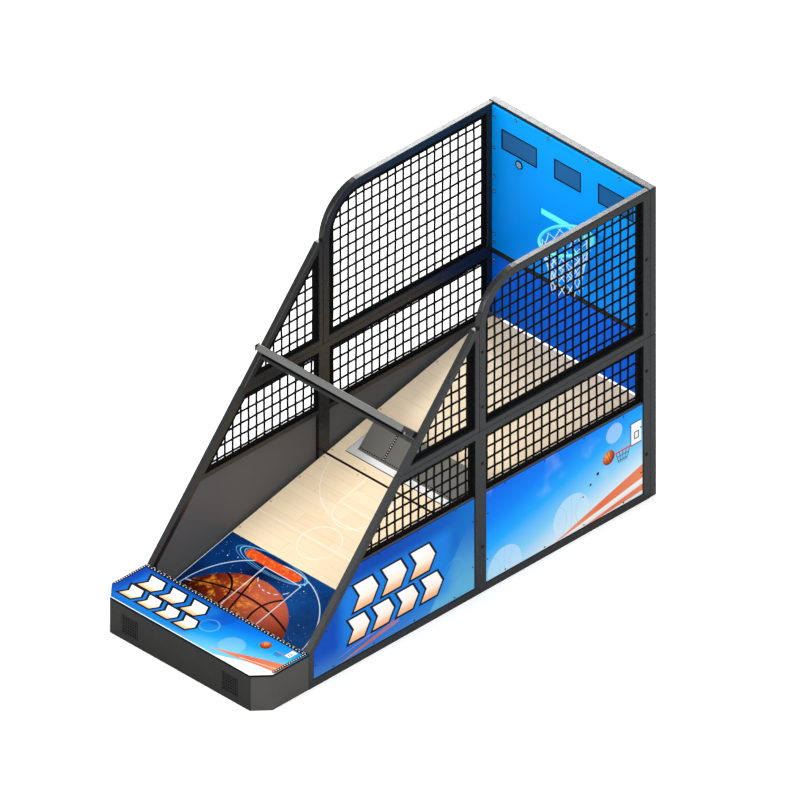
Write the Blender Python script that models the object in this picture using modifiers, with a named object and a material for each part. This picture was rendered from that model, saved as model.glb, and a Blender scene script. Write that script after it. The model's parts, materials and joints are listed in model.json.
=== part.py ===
"""Basketball hoop machine: tube cage, sloping ball ramp, backboard with a sliding hoop.

X runs across the machine, Y from the player (-Y) to the backboard (+Y), Z up.
The origin is on the floor, under the middle of the machine.
"""

import math

import bmesh
import bpy

# Whole machine
WIDTH = 1.0
HEIGHT = 1.63
SPLIT_HEIGHT = 0.855        # where the lower frames end and the upper ones begin
FRONT_BAY = 1.055           # length of the front half's side frames
REAR_BAY = 1.055
BACK_DEPTH = 0.040
TURN_STEPS = 32             # sides of a turned piece
GAP = 0.0003                # left between pieces that touch
RUN = 0.0015                # left between pieces that move past each other

# Front console
CONSOLE_DEPTH = 0.300
CONSOLE_HEIGHT = 0.190
CORNER_ACROSS = 0.068
CORNER_DEPTH = 0.075
CONSOLE_WALL = 0.012
LID = 0.012
LID_HINGE_RADIUS = 0.003
GRILLE_CENTRE = 0.310       # across, from the middle
GRILLE_HEIGHT = 0.085
GRILLE_SIDE = 0.096
GRILLE_PLATE = 0.003
GRILLE_HOLE = 0.0045
GRILLE_PITCH = 0.0145
GRILLE_ROWS = 6
SPEAKER_RADIUS = 0.060
CONTROL_BOX = (0.260, 0.130, 0.070)

# Side frames
FRAME = 0.032               # tube size across the machine
POST = 0.040                # tube size of the rear half and the back, seen from the side
SLIM = 0.028                # tube size of the front half, seen from the side
JOINT_POST = 0.025          # the front half's rear post
RAIL = 0.030
FLOOR_RAIL = 0.038
PANEL_RAIL = 0.025          # stands behind the top edge of a side panel
FRONT_DROP = 0.230          # the front half ends this far below the top
ARCH_RADIUS = 0.240
ARCH_STEPS = 12
PANEL_TOP = 0.520
PANEL = 0.012
PANEL_INSET = 0.003
NET = 0.006
NET_INSET = 0.006           # from the inner face of the tubes

# Ball ramp
RAMP_START = 0.0236         # height of its surface behind the console
RAMP_REVEAL = 0.004         # its back edge lies this far below the panels' top
BOARD = 0.018
RAMP_EDGE = 0.001
FRONT_BOARD = 0.503         # along the slope
MIDDLE_BOARD_END = 1.094
RAMP_SEAM = 0.012
LEDGER = 0.025
LEDGER_START = 0.250
CROSS_MEMBER = 0.030

# Ball gate
GATE_FRONT = 1.201          # its hinge, along the slope
GATE_HALF = 0.363
GATE_LENGTH = 0.165
GATE_RAISED = math.radians(32)
GATE_PLATE = 0.003
GATE_SHAFT = 0.005
FLANGE = 0.002
FLANGE_FRONT = 0.040
FLANGE_SIDE = 0.034
FLANGE_BACK = 0.025
CHEEK = 0.003
CHEEK_REACH = 0.018
CHEEK_DROP = 0.025

# Bar across the opening
BAR_HEIGHT = 1.000
BAR_WIDTH = 0.031
BAR_DEPTH = 0.020
SOCKET = 0.062
SOCKET_DROP = 0.026
TIE = 0.020
TIE_STEP = 0.005

# Backboard
BACKBOARD = 0.010
BACKBOARD_SEAM = 0.022
BACKBOARD_DROP = 0.012
DISPLAY_DROP = 0.160
DISPLAY_HEIGHT = 0.100
SIDE_DISPLAY = 0.214
SIDE_DISPLAY_EDGE = 0.062
CENTRE_DISPLAY = 0.160
DISPLAY_RECESS = 0.001
DISPLAY_BEHIND = 0.022
LAMP_RADIUS = 0.018
LAMP_RIM = 0.003
LAMP_DROP = 0.247

# Sliding hoop
SLOT_DROP = 0.430
SLOT_HALF = 0.175
SLOT_HEIGHT = 0.040
NECK_HALF = 0.049
NECK_HEIGHT = 0.034
HOOP_RISE = 0.050           # the ring's height above the slot
HOOP_RADIUS = 0.118
HOOP_WIRE = 0.008
HOOP_STANDOFF = 0.008
BRACKET = 0.006
NET_LENGTH = 0.250
NET_END_RADIUS = 0.068
NET_WALL = 0.0025
SHIELD = 0.002
SHIELD_MARGIN = 0.010
GUIDE_DEPTH = 0.012
GUIDE_HEIGHT = 0.012
CARRIAGE_HALF = 0.080
KEEPER = 0.003

LENGTH = CONSOLE_DEPTH + FRONT_BAY + REAR_BAY + BACK_DEPTH
FRONT_Y = -LENGTH / 2
SIDE_Y = FRONT_Y + CONSOLE_DEPTH
SPLIT_Y = SIDE_Y + FRONT_BAY
SIDE_END_Y = SPLIT_Y + REAR_BAY
BACK_Y = SIDE_END_Y + BACK_DEPTH
OUTER = WIDTH / 2
INNER = OUTER - FRAME
FRONT_TOP = HEIGHT - FRONT_DROP
BOARD_FACE_Y = SIDE_END_Y - GAP - BACKBOARD
BOARD_HALF = INNER - GAP
WINDOW_HALF = OUTER - POST
RAMP_RUN = BOARD_FACE_Y - SIDE_Y
RAMP_ANGLE = math.atan2(PANEL_TOP - RAMP_REVEAL - RAMP_START, RAMP_RUN)
RAMP_LENGTH = RAMP_RUN / math.cos(RAMP_ANGLE) - 2 * BOARD * math.tan(RAMP_ANGLE)
SLANT = math.atan2(FRONT_TOP - CONSOLE_HEIGHT, FRONT_BAY - JOINT_POST)
SLOT_Z = HEIGHT - SLOT_DROP
HOOP_Z = SLOT_Z + HOOP_RISE
HOOP_X = SLOT_HALF - NECK_HALF - GAP      # the carriage rests at the right end of its slot
HOOP_Y = BOARD_FACE_Y - HOOP_STANDOFF - HOOP_WIRE - HOOP_RADIUS

SIDEWAYS = ((math.pi / 2, 0, math.pi / 2), 0)    # outline in Y and Z, thickness along X
UPRIGHT = ((math.pi / 2, 0, 0), 1)               # outline in X and Z, thickness along Y
LEVEL = ((0, 0, 0), 2)                           # outline in X and Y, thickness along Z


def clear_scene():
    for thing in list(bpy.data.objects):
        bpy.data.objects.remove(thing)


def collection(name, hidden=False):
    made = bpy.data.collections.new(name)
    made.hide_render = hidden
    bpy.context.scene.collection.children.link(made)
    return made


def material(name, colour, roughness, metallic=0.0):
    look = bpy.data.materials.new(name)
    look.use_nodes = True
    shader = look.node_tree.nodes["Principled BSDF"]
    shader.inputs["Base Color"].default_value = (*colour, 1)
    shader.inputs["Roughness"].default_value = roughness
    shader.inputs["Metallic"].default_value = metallic
    return look


def piece(name, mesh, look, parent=None):
    made = bpy.data.objects.new(name, mesh)
    made.parent = parent
    if look is None:
        made.hide_render = True
        made.display_type = "WIRE"
        cutters.objects.link(made)
    else:
        mesh.materials.append(look)
        machine.objects.link(made)
    return made


def anchor(name, location, tilt=0.0, parent=None):
    """An empty that pieces hang from, tilted about X."""
    made = bpy.data.objects.new(name, None)
    made.location = location
    made.rotation_euler.x = tilt
    made.parent = parent
    machine.objects.link(made)
    return made


def box(name, across, along, up, look, parent=None):
    """A box from its (low, high) in each direction."""
    spans = (across, along, up)
    mesh = bpy.data.meshes.new(name)
    shape = bmesh.new()
    bmesh.ops.create_cube(shape, size=1)
    bmesh.ops.scale(shape, vec=[high - low for low, high in spans], verts=shape.verts)
    shape.to_mesh(mesh)
    shape.free()
    made = piece(name, mesh, look, parent)
    made.location = [(low + high) / 2 for low, high in spans]
    return made


def rod(name, radius, length, centre, look, parent=None, sides=24):
    """A round bar along X."""
    mesh = bpy.data.meshes.new(name)
    shape = bmesh.new()
    bmesh.ops.create_cone(
        shape, cap_ends=True, segments=sides, radius1=radius, radius2=radius, depth=length
    )
    shape.to_mesh(mesh)
    shape.free()
    made = piece(name, mesh, look, parent)
    made.location = centre
    made.rotation_euler.y = math.pi / 2
    return made


def sheet(name, loops, span, facing, look, parent=None):
    """A flat piece: an outline, then any holes, and its (low, high) across the outline."""
    low, high = span
    turn, axis = facing
    curve = bpy.data.curves.new(name, "CURVE")
    curve.dimensions = "2D"
    curve.fill_mode = "BOTH"
    curve.extrude = (high - low) / 2
    for loop in loops:
        spline = curve.splines.new("POLY")
        spline.points.add(len(loop) - 1)
        for point, place in zip(spline.points, loop):
            point.co = (*place, 0, 1)
        spline.use_cyclic_u = True
    outline = bpy.data.objects.new(name, curve)
    bpy.context.scene.collection.objects.link(outline)
    graph = bpy.context.evaluated_depsgraph_get()
    mesh = bpy.data.meshes.new_from_object(outline.evaluated_get(graph))
    bpy.data.objects.remove(outline)
    shape = bmesh.new()
    shape.from_mesh(mesh)
    bmesh.ops.remove_doubles(shape, verts=shape.verts, dist=0.00001)
    bmesh.ops.recalc_face_normals(shape, faces=shape.faces)
    shape.to_mesh(mesh)
    shape.free()
    made = piece(name, mesh, look, parent)
    made.rotation_euler = turn
    made.location[axis] = (low + high) / 2
    return made


def turned(name, profile, look, closed=False, parent=None):
    """A profile of (radius, height) turned about Z, listed from the top down."""
    mesh = bpy.data.meshes.new(name)
    shape = bmesh.new()
    points = [shape.verts.new((radius, 0, height)) for radius, height in profile]
    following = points[1:] + points[:1] if closed else points[1:]
    for first, second in zip(points, following):
        shape.edges.new((first, second))
    shape.to_mesh(mesh)
    shape.free()
    made = piece(name, mesh, look, parent)
    screw = made.modifiers.new("turn", "SCREW")
    screw.steps = TURN_STEPS
    screw.render_steps = TURN_STEPS
    screw.merge_threshold = 0.00001
    screw.use_merge_vertices = True
    return made


def facing_front(made, centre):
    """Puts a turned piece at its place, its top towards the player."""
    made.location = centre
    made.rotation_euler.x = math.pi / 2


def combine(target, other, operation):
    modifier = target.modifiers.new(operation.lower(), "BOOLEAN")
    modifier.operation = operation
    modifier.solver = "EXACT"
    modifier.object = other


def rectangle(across, up):
    (left, right), (low, high) = across, up
    return [(left, low), (right, low), (right, high), (left, high)]


def between(side, near, far):
    """The (low, high) span from near to far off the middle, on the left (-1) or right (1)."""
    return tuple(sorted((side * near, side * far)))


def shrunk(span, by):
    return span[0] + by, span[1] - by


def slant_y(height, inset=0.0):
    """Where the front half's slanted tube is at a height, measured in from its upper face."""
    return SIDE_Y + (height - CONSOLE_HEIGHT) / math.tan(SLANT) + inset / math.sin(SLANT)


def slant_z(y, inset=0.0):
    return CONSOLE_HEIGHT + (y - SIDE_Y) * math.tan(SLANT) - inset / math.cos(SLANT)


def front_opening(low, high, inset):
    """The front half's opening between two heights, kept clear of its tubes by the inset."""
    start = SIDE_Y + SLIM + inset
    end = SPLIT_Y - GAP - JOINT_POST - inset
    reach = SLIM + inset
    points = [(max(start, slant_y(low, reach)), low), (end, low), (end, high)]
    points.append((slant_y(high, reach), high))
    if slant_y(low, reach) < start:
        points.append((start, slant_z(start, reach)))
    return points


def rear_opening(low, high, inset):
    across = (SPLIT_Y + POST, SIDE_END_Y - POST)
    return rectangle(shrunk(across, inset), (low, high))


def arch(start, low, end, high, radius):
    """An upright rectangle with its front upper corner rounded."""
    points = [(start, low), (end, low), (end, high)]
    for step in range(ARCH_STEPS + 1):
        angle = math.pi / 2 * (1 + step / ARCH_STEPS)
        across = start + radius + radius * math.cos(angle)
        up = high - radius + radius * math.sin(angle)
        points.append((across, up))
    return points


def rear_arch(inset):
    """The rear half's upper opening, kept clear of its tubes by the inset."""
    return arch(
        SPLIT_Y + POST + inset,
        SPLIT_HEIGHT + RAIL + inset,
        SIDE_END_Y - POST - inset,
        HEIGHT - POST - inset,
        ARCH_RADIUS - POST - inset,
    )


def lower_frame(name, outline, opening, rail_front, side):
    """A lower side frame, with the thin rail that backs the top edge of its panel."""
    frame = sheet(name, [outline, opening], between(side, INNER, OUTER), SIDEWAYS, steel)
    backing = OUTER - PANEL_INSET - PANEL - GAP
    rail_low = PANEL_TOP - PANEL_RAIL
    end = opening[1][0] + SLIM / 3
    points = [(rail_front(rail_low), rail_low), (end, rail_low)]
    points += [(end, PANEL_TOP), (rail_front(PANEL_TOP), PANEL_TOP)]
    rail = sheet(name + ".rail", [points], between(side, INNER + GAP, backing), SIDEWAYS, None)
    combine(frame, rail, "UNION")


def side_frames(label, side):
    split_low = SPLIT_HEIGHT - GAP
    front_end = SPLIT_Y - GAP
    outline = [(SIDE_Y, 0), (front_end, 0), (front_end, split_low)]
    outline += [(slant_y(split_low), split_low), (SIDE_Y, CONSOLE_HEIGHT)]
    opening = front_opening(FLOOR_RAIL, split_low - RAIL, 0)
    lower_frame(
        "front_lower_frame_" + label, outline, opening,
        lambda height: slant_y(height, SLIM * 2 / 3), side,
    )
    outline = [(slant_y(SPLIT_HEIGHT), SPLIT_HEIGHT), (front_end, SPLIT_HEIGHT)]
    outline += [(front_end, FRONT_TOP), (front_end - JOINT_POST, FRONT_TOP)]
    low = SPLIT_HEIGHT + RAIL
    end = front_end - JOINT_POST
    opening = [(slant_y(low, SLIM), low), (end, low), (end, slant_z(end, SLIM))]
    thick = between(side, INNER, OUTER)
    sheet("front_upper_frame_" + label, [outline, opening], thick, SIDEWAYS, steel)
    outline = rectangle((SPLIT_Y, SIDE_END_Y), (0, split_low))
    opening = rear_opening(FLOOR_RAIL, split_low - RAIL, 0)
    lower_frame(
        "rear_lower_frame_" + label, outline, opening,
        lambda height: SPLIT_Y + POST - SLIM / 3, side,
    )
    outline = arch(SPLIT_Y, SPLIT_HEIGHT, SIDE_END_Y, HEIGHT, ARCH_RADIUS)
    sheet("rear_upper_frame_" + label, [outline, rear_arch(0)], thick, SIDEWAYS, steel)


def side_panels(label, side):
    thick = between(side, OUTER - PANEL_INSET - PANEL, OUTER - PANEL_INSET)
    low = FLOOR_RAIL + GAP
    front = front_opening(low, PANEL_TOP, GAP)
    sheet("front_side_panel_" + label, [front], thick, SIDEWAYS, panel_blue)
    rear = rear_opening(low, PANEL_TOP, GAP)
    sheet("rear_side_panel_" + label, [rear], thick, SIDEWAYS, panel_blue)


def side_nets(label, side):
    thick = between(side, INNER + NET_INSET, INNER + NET_INSET + NET)
    low = PANEL_TOP + GAP
    high = SPLIT_HEIGHT - RAIL - 2 * GAP
    sheet("front_lower_net_" + label, [front_opening(low, high, GAP)], thick, SIDEWAYS, netting)
    sheet("rear_lower_net_" + label, [rear_opening(low, high, GAP)], thick, SIDEWAYS, netting)
    low = SPLIT_HEIGHT + RAIL + GAP
    end = SPLIT_Y - JOINT_POST - 2 * GAP
    reach = SLIM + GAP
    wedge = [(slant_y(low, reach), low), (end, low), (end, slant_z(end, reach))]
    sheet("front_upper_net_" + label, [wedge], thick, SIDEWAYS, netting)
    sheet("rear_upper_net_" + label, [rear_arch(GAP)], thick, SIDEWAYS, netting)


def back_frames():
    depth = (SIDE_END_Y + GAP, BACK_Y)
    across = (-OUTER, OUTER)
    window = (-WINDOW_HALF, WINDOW_HALF)
    split_low = SPLIT_HEIGHT - GAP
    outline = rectangle(across, (0, split_low))
    opening = rectangle(window, (FLOOR_RAIL, split_low - RAIL))
    sheet("back_lower_frame", [outline, opening], depth, UPRIGHT, steel)
    outline = rectangle(across, (SPLIT_HEIGHT, HEIGHT))
    opening = rectangle(window, (SPLIT_HEIGHT + RAIL, HEIGHT - POST))
    sheet("back_upper_frame", [outline, opening], depth, UPRIGHT, steel)


def console_outline(inset, back):
    """The console from above: straight back and sides, cut front corners."""
    side = OUTER - inset
    front = FRONT_Y + inset
    corner = inset * math.tan(math.pi / 8)
    across = side - CORNER_ACROSS + corner
    along = front + CORNER_DEPTH - corner
    points = [(-side, back), (-side, along), (-across, front)]
    return points + [(-x, y) for x, y in reversed(points)]


def console():
    back = SIDE_Y - GAP
    rim = CONSOLE_HEIGHT - LID - GAP
    shell = sheet("console_shell", [console_outline(0, back)], (0, rim), LEVEL, charcoal)
    inside = console_outline(CONSOLE_WALL, back - CONSOLE_WALL)
    room = (CONSOLE_WALL, CONSOLE_HEIGHT)
    combine(shell, sheet("console_room", [inside], room, LEVEL, None), "DIFFERENCE")
    for label, side in SIDES:
        combine(shell, grille_window(label, side), "DIFFERENCE")
        grille(label, side)
        speaker(label, side)
    hinge_y = back - LID_HINGE_RADIUS
    hinge_z = CONSOLE_HEIGHT - LID_HINGE_RADIUS
    lid_back = hinge_y - LID_HINGE_RADIUS - GAP
    lid_axis = anchor("lid_axis", (0, hinge_y, hinge_z))
    outline = [(x, y - hinge_y) for x, y in console_outline(0, lid_back)]
    thick = (CONSOLE_HEIGHT - LID - hinge_z, CONSOLE_HEIGHT - hinge_z)
    sheet("console_lid", [outline], thick, LEVEL, panel_blue, lid_axis)
    hinge = rod(
        "console_hinge", LID_HINGE_RADIUS, WIDTH, (0, hinge_y, hinge_z), bright_steel, sides=16
    )
    web = box(
        "console_hinge.web",
        (-OUTER, OUTER),
        (hinge_y - LID_HINGE_RADIUS / 2, hinge_y + LID_HINGE_RADIUS / 2),
        (rim + GAP, hinge_z),
        None,
    )
    combine(hinge, web, "UNION")
    width, depth, height = CONTROL_BOX
    floor = CONSOLE_WALL + GAP
    middle = (FRONT_Y + SIDE_Y) / 2
    box(
        "control_box",
        (-width / 2, width / 2),
        (middle - depth / 2, middle + depth / 2),
        (floor, floor + height),
        bright_steel,
    )


def grille_window(label, side):
    middle = side * GRILLE_CENTRE
    half = GRILLE_SIDE / 2 + GAP
    return box(
        "grille_window_" + label,
        (middle - half, middle + half),
        (FRONT_Y - CONSOLE_WALL, FRONT_Y + CONSOLE_WALL * 1.5),
        (GRILLE_HEIGHT - half, GRILLE_HEIGHT + half),
        None,
    )


def grille(label, side):
    """A plate pierced by rows of small six-sided holes."""
    middle = side * GRILLE_CENTRE
    half = GRILLE_SIDE / 2
    across = (middle - half, middle + half)
    loops = [rectangle(across, (GRILLE_HEIGHT - half, GRILLE_HEIGHT + half))]
    steps = [GRILLE_PITCH * (place - (GRILLE_ROWS - 1) / 2) for place in range(GRILLE_ROWS)]
    for x in steps:
        for z in steps:
            turns = [math.pi / 3 * corner for corner in range(6)]
            loops.append(
                [
                    (
                        middle + x + GRILLE_HOLE * math.cos(turn),
                        GRILLE_HEIGHT + z + GRILLE_HOLE * math.sin(turn),
                    )
                    for turn in turns
                ]
            )
    sheet("speaker_grille_" + label, loops, (FRONT_Y, FRONT_Y + GRILLE_PLATE), UPRIGHT, steel)


def speaker(label, side):
    """A loudspeaker: flange and cone in front, basket and magnet behind."""
    rim = SPEAKER_RADIUS
    profile = [
        (0, -0.020), (rim * 0.22, -0.022), (rim * 0.80, -0.003), (rim * 0.86, 0), (rim, 0),
        (rim, -0.003), (rim * 0.85, -0.006), (rim * 0.60, -0.030), (rim * 0.66, -0.031),
        (rim * 0.66, -0.046), (0, -0.046),
    ]
    face = FRONT_Y + CONSOLE_WALL + GAP
    driver = turned("speaker_" + label, profile, charcoal)
    facing_front(driver, (side * GRILLE_CENTRE, face, GRILLE_HEIGHT))


def backboards():
    face = (BOARD_FACE_Y, BOARD_FACE_Y + BACKBOARD)
    low = PANEL_TOP - RAMP_REVEAL + RUN
    across = (-BOARD_HALF, BOARD_HALF)
    outline = rectangle(across, (low, SPLIT_HEIGHT - BACKBOARD_SEAM / 2))
    sheet("backboard_lower", [outline], face, UPRIGHT, board_blue)
    top = HEIGHT - BACKBOARD_DROP
    loops = [rectangle(across, (SPLIT_HEIGHT + BACKBOARD_SEAM / 2, top))]
    middle = HEIGHT - DISPLAY_DROP
    rows = (middle - DISPLAY_HEIGHT / 2, middle + DISPLAY_HEIGHT / 2)
    outer = BOARD_HALF - SIDE_DISPLAY_EDGE
    inner = outer - SIDE_DISPLAY
    spans = {
        "display_left": (-outer, -inner),
        "display_centre": (-CENTRE_DISPLAY / 2, CENTRE_DISPLAY / 2),
        "display_right": (inner, outer),
    }
    depth = (BOARD_FACE_Y + DISPLAY_RECESS, SIDE_END_Y + DISPLAY_BEHIND)
    for name, span in spans.items():
        loops.append(rectangle(span, rows))
        box(name, shrunk(span, GAP), depth, shrunk(rows, GAP), display_glass)
    lamp_x = -(outer + inner) / 2
    lamp_z = HEIGHT - LAMP_DROP
    hole = LAMP_RADIUS + GAP
    turns = [math.tau * place / 24 for place in range(24)]
    loops.append(
        [(lamp_x + hole * math.cos(turn), lamp_z + hole * math.sin(turn)) for turn in turns]
    )
    loops.append(
        rectangle(
            (-SLOT_HALF, SLOT_HALF), (SLOT_Z - SLOT_HEIGHT / 2, SLOT_Z + SLOT_HEIGHT / 2)
        )
    )
    sheet("backboard_upper", loops, face, UPRIGHT, board_blue)
    rim = LAMP_RADIUS + LAMP_RIM
    profile = [(0, 0.009), (LAMP_RADIUS * 0.6, 0.007), (LAMP_RADIUS, 0.003), (rim, 0.003)]
    profile += [(rim, GAP), (LAMP_RADIUS - GAP, GAP), (LAMP_RADIUS - GAP, -0.020), (0, -0.020)]
    lamp = turned("indicator_lamp", profile, display_glass)
    facing_front(lamp, (lamp_x, BOARD_FACE_Y, lamp_z))


def hoop():
    """The ring and its net, on a carriage that slides behind the backboard's slot."""
    axis = anchor("hoop_slide", (HOOP_X, HOOP_Y, HOOP_Z))
    ring = bpy.data.curves.new("hoop_ring", "CURVE")
    ring.dimensions = "3D"
    ring.bevel_depth = HOOP_WIRE
    ring.bevel_resolution = 2
    spline = ring.splines.new("POLY")
    spline.points.add(47)
    for place, point in enumerate(spline.points):
        turn = math.tau * place / 48
        point.co = (HOOP_RADIUS * math.cos(turn), HOOP_RADIUS * math.sin(turn), 0, 1)
    spline.use_cyclic_u = True
    piece("hoop_ring", ring, hoop_cyan, axis)

    face = BOARD_FACE_Y - RUN - HOOP_Y
    plate = face - BRACKET
    shelf = face - HOOP_STANDOFF - HOOP_WIRE
    seat = -HOOP_WIRE - GAP
    shield = (SIDE_END_Y + RUN - HOOP_Y, SIDE_END_Y + RUN + SHIELD - HOOP_Y)
    low = -HOOP_RISE - NECK_HEIGHT / 2
    neck_top = -HOOP_RISE + NECK_HEIGHT / 2
    outline = [(shield[0] - GAP, low), (plate, low), (plate, seat - BRACKET)]
    outline += [(shelf, seat - BRACKET), (shelf, seat), (face, seat), (face, neck_top)]
    outline.append((shield[0] - GAP, neck_top))
    sheet("hoop_bracket", [outline], (-NECK_HALF, NECK_HALF), SIDEWAYS, hoop_cyan, axis)

    top = HOOP_RADIUS - HOOP_WIRE - GAP
    profile = [(top - NET_WALL, 0), (top, 0), (NET_END_RADIUS, -NET_LENGTH)]
    profile.append((NET_END_RADIUS - NET_WALL, -NET_LENGTH))
    turned("hoop_net", profile, net_white, closed=True, parent=axis)

    middle = -HOOP_RISE
    guide_low = SLOT_HEIGHT / 2 + RUN
    reach = guide_low + GUIDE_HEIGHT
    half = SLOT_HALF + HOOP_X + SHIELD_MARGIN
    tall = (middle - reach, middle + reach)
    box("slot_shield", (-half, half), shield, tall, hoop_cyan, axis)
    block = (shield[1] + GAP, shield[1] + GUIDE_DEPTH + 2 * RUN - GAP)
    inside = (middle - SLOT_HEIGHT / 2, middle + SLOT_HEIGHT / 2)
    span = (-CARRIAGE_HALF, CARRIAGE_HALF)
    box("hoop_carriage", span, block, inside, bright_steel, axis)
    keeper = (block[1] + GAP, block[1] + GAP + KEEPER)
    box("carriage_keeper", span, keeper, tall, bright_steel, axis)

    start = SIDE_END_Y + 2 * RUN + SHIELD
    depth = (start, start + GUIDE_DEPTH)
    across = (-WINDOW_HALF + GAP, WINDOW_HALF - GAP)
    above = (SLOT_Z + guide_low, SLOT_Z + reach)
    below = (SLOT_Z - reach, SLOT_Z - guide_low)
    box("guide_rail_upper", across, depth, above, bright_steel)
    box("guide_rail_lower", across, depth, below, bright_steel)


def ramp():
    """Three boards on two sloping ledgers and three cross members."""
    slope = anchor("ramp_line", (0, SIDE_Y, RAMP_START), RAMP_ANGLE)
    half = INNER - RAMP_EDGE
    across = (-half, half)
    board = (-BOARD, 0)
    seam_end = MIDDLE_BOARD_END + RAMP_SEAM
    box("ramp_front_board", across, (RUN, FRONT_BOARD), board, panel_blue, slope)
    box("ramp_middle_board", across, (FRONT_BOARD + GAP, MIDDLE_BOARD_END), board, maple, slope)
    well_half = GATE_HALF + RUN + CHEEK + GAP
    well = rectangle(
        (-well_half, well_half),
        (GATE_FRONT - CHEEK_REACH - GAP, GATE_FRONT + GATE_LENGTH + 2 * RUN),
    )
    outline = rectangle(across, (seam_end, RAMP_LENGTH))
    sheet("ramp_rear_board", [outline, well], board, LEVEL, maple, slope)

    under = -BOARD - GAP
    for label, side in SIDES:
        edge = between(side, INNER - GAP - LEDGER, INNER - GAP)
        drop = (under - LEDGER, under)
        box("ramp_ledger_" + label, edge, (LEDGER_START, RAMP_LENGTH), drop, steel, slope)
    reach = INNER - 2 * GAP - LEDGER
    middles = {
        "front": FRONT_BOARD,
        "middle": MIDDLE_BOARD_END + RAMP_SEAM / 2,
        "rear": RAMP_LENGTH - CROSS_MEMBER,
    }
    for label, middle in middles.items():
        along = (middle - CROSS_MEMBER / 2, middle + CROSS_MEMBER / 2)
        drop = (under - CROSS_MEMBER, under)
        box("cross_member_" + label, (-reach, reach), along, drop, steel, slope)
    ball_gate(slope)


def ball_gate(slope):
    """A flap across the ramp, hinged at its downhill edge and drawn here raised."""
    hinge_z = GAP + FLANGE - GATE_SHAFT - GATE_PLATE / 3
    axis = anchor("gate_axis", (0, GATE_FRONT, hinge_z), GATE_RAISED, slope)
    plate = (GATE_SHAFT - GATE_PLATE * 2 / 3, GATE_SHAFT + GATE_PLATE / 3)
    flap = box(
        "ball_gate", (-GATE_HALF, GATE_HALF), (0, GATE_LENGTH), plate, gate_grey, axis
    )
    reach = GATE_HALF + RUN + CHEEK - GAP
    shaft = rod("ball_gate.shaft", GATE_SHAFT, 2 * reach, (0, 0, 0), None, axis)
    combine(flap, shaft, "UNION")

    opening = GATE_HALF + RUN
    start = GATE_FRONT - GATE_SHAFT - RUN
    end = GATE_FRONT + GATE_LENGTH + RUN
    outer = opening + FLANGE_SIDE
    outline = rectangle((-outer, outer), (GATE_FRONT - FLANGE_FRONT, end + FLANGE_BACK))
    hole = rectangle((-opening, opening), (start, end))
    top = GAP + FLANGE
    frame = sheet("gate_frame", [outline, hole], (GAP, top), LEVEL, white, slope)
    for label, side in SIDES:
        cheek = box(
            "gate_cheek_" + label,
            between(side, opening, opening + CHEEK),
            (GATE_FRONT - CHEEK_REACH, GATE_FRONT + CHEEK_REACH),
            (hinge_z - CHEEK_DROP, top - FLANGE / 2),
            None,
            slope,
        )
        combine(frame, cheek, "UNION")
    bore = rod(
        "gate_bore", GATE_SHAFT + GAP, 2 * (outer + CHEEK), (0, GATE_FRONT, hinge_z), None, slope
    )
    combine(frame, bore, "DIFFERENCE")


def hand_bar():
    """A bar over the slanted tubes, its socket on the right, and the tie below it."""
    line = anchor("slant_line", (0, slant_y(BAR_HEIGHT), BAR_HEIGHT), SLANT)
    along = (-BAR_WIDTH / 2, BAR_WIDTH / 2)
    up = (GAP, GAP + BAR_DEPTH)
    socket = INNER - GAP - SOCKET
    box("hand_bar", (-OUTER, socket - GAP), along, up, steel, line)
    drop = (GAP - SOCKET_DROP, GAP + BAR_DEPTH)
    box("hand_bar_socket", (socket, INNER - GAP), along, drop, charcoal, line)
    low = -BAR_WIDTH / 2 - TIE_STEP - TIE
    reach = INNER - GAP
    box("cross_tie", (-reach, reach), (low, low + TIE), (-TIE, 0), steel, line)


clear_scene()
machine = collection("basketball_hoop_machine")
cutters = collection("cutters", hidden=True)
steel = material("black_steel", (0.045, 0.045, 0.047), 0.45, 0.3)
charcoal = material("charcoal_sheet", (0.035, 0.034, 0.032), 0.55)
bright_steel = material("zinc_steel", (0.45, 0.46, 0.47), 0.35, 0.9)
panel_blue = material("printed_blue", (0.02, 0.16, 0.60), 0.35)
board_blue = material("board_blue", (0.0, 0.24, 0.85), 0.35)
netting = material("black_net", (0.012, 0.012, 0.012), 0.8)
display_glass = material("display_glass", (0.03, 0.09, 0.20), 0.2)
hoop_cyan = material("cyan_enamel", (0.10, 0.85, 0.90), 0.35)
net_white = material("white_net", (0.70, 0.88, 0.95), 0.8)
maple = material("maple_print", (0.86, 0.66, 0.42), 0.4)
gate_grey = material("grey_sheet", (0.18, 0.18, 0.17), 0.5)
white = material("white_sheet", (0.85, 0.85, 0.84), 0.4)
SIDES = (("left", -1), ("right", 1))
for label, side in SIDES:
    side_frames(label, side)
    side_panels(label, side)
    side_nets(label, side)
back_frames()
console()
backboards()
hoop()
ramp()
hand_bar()
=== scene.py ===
"""Looks of the basketball hoop machine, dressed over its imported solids.

Metres throughout: X across the machine, Y from the player to the backboard, Z up.
"""

import json
import math

import bmesh
import bpy
from mathutils import Matrix, Vector


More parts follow.
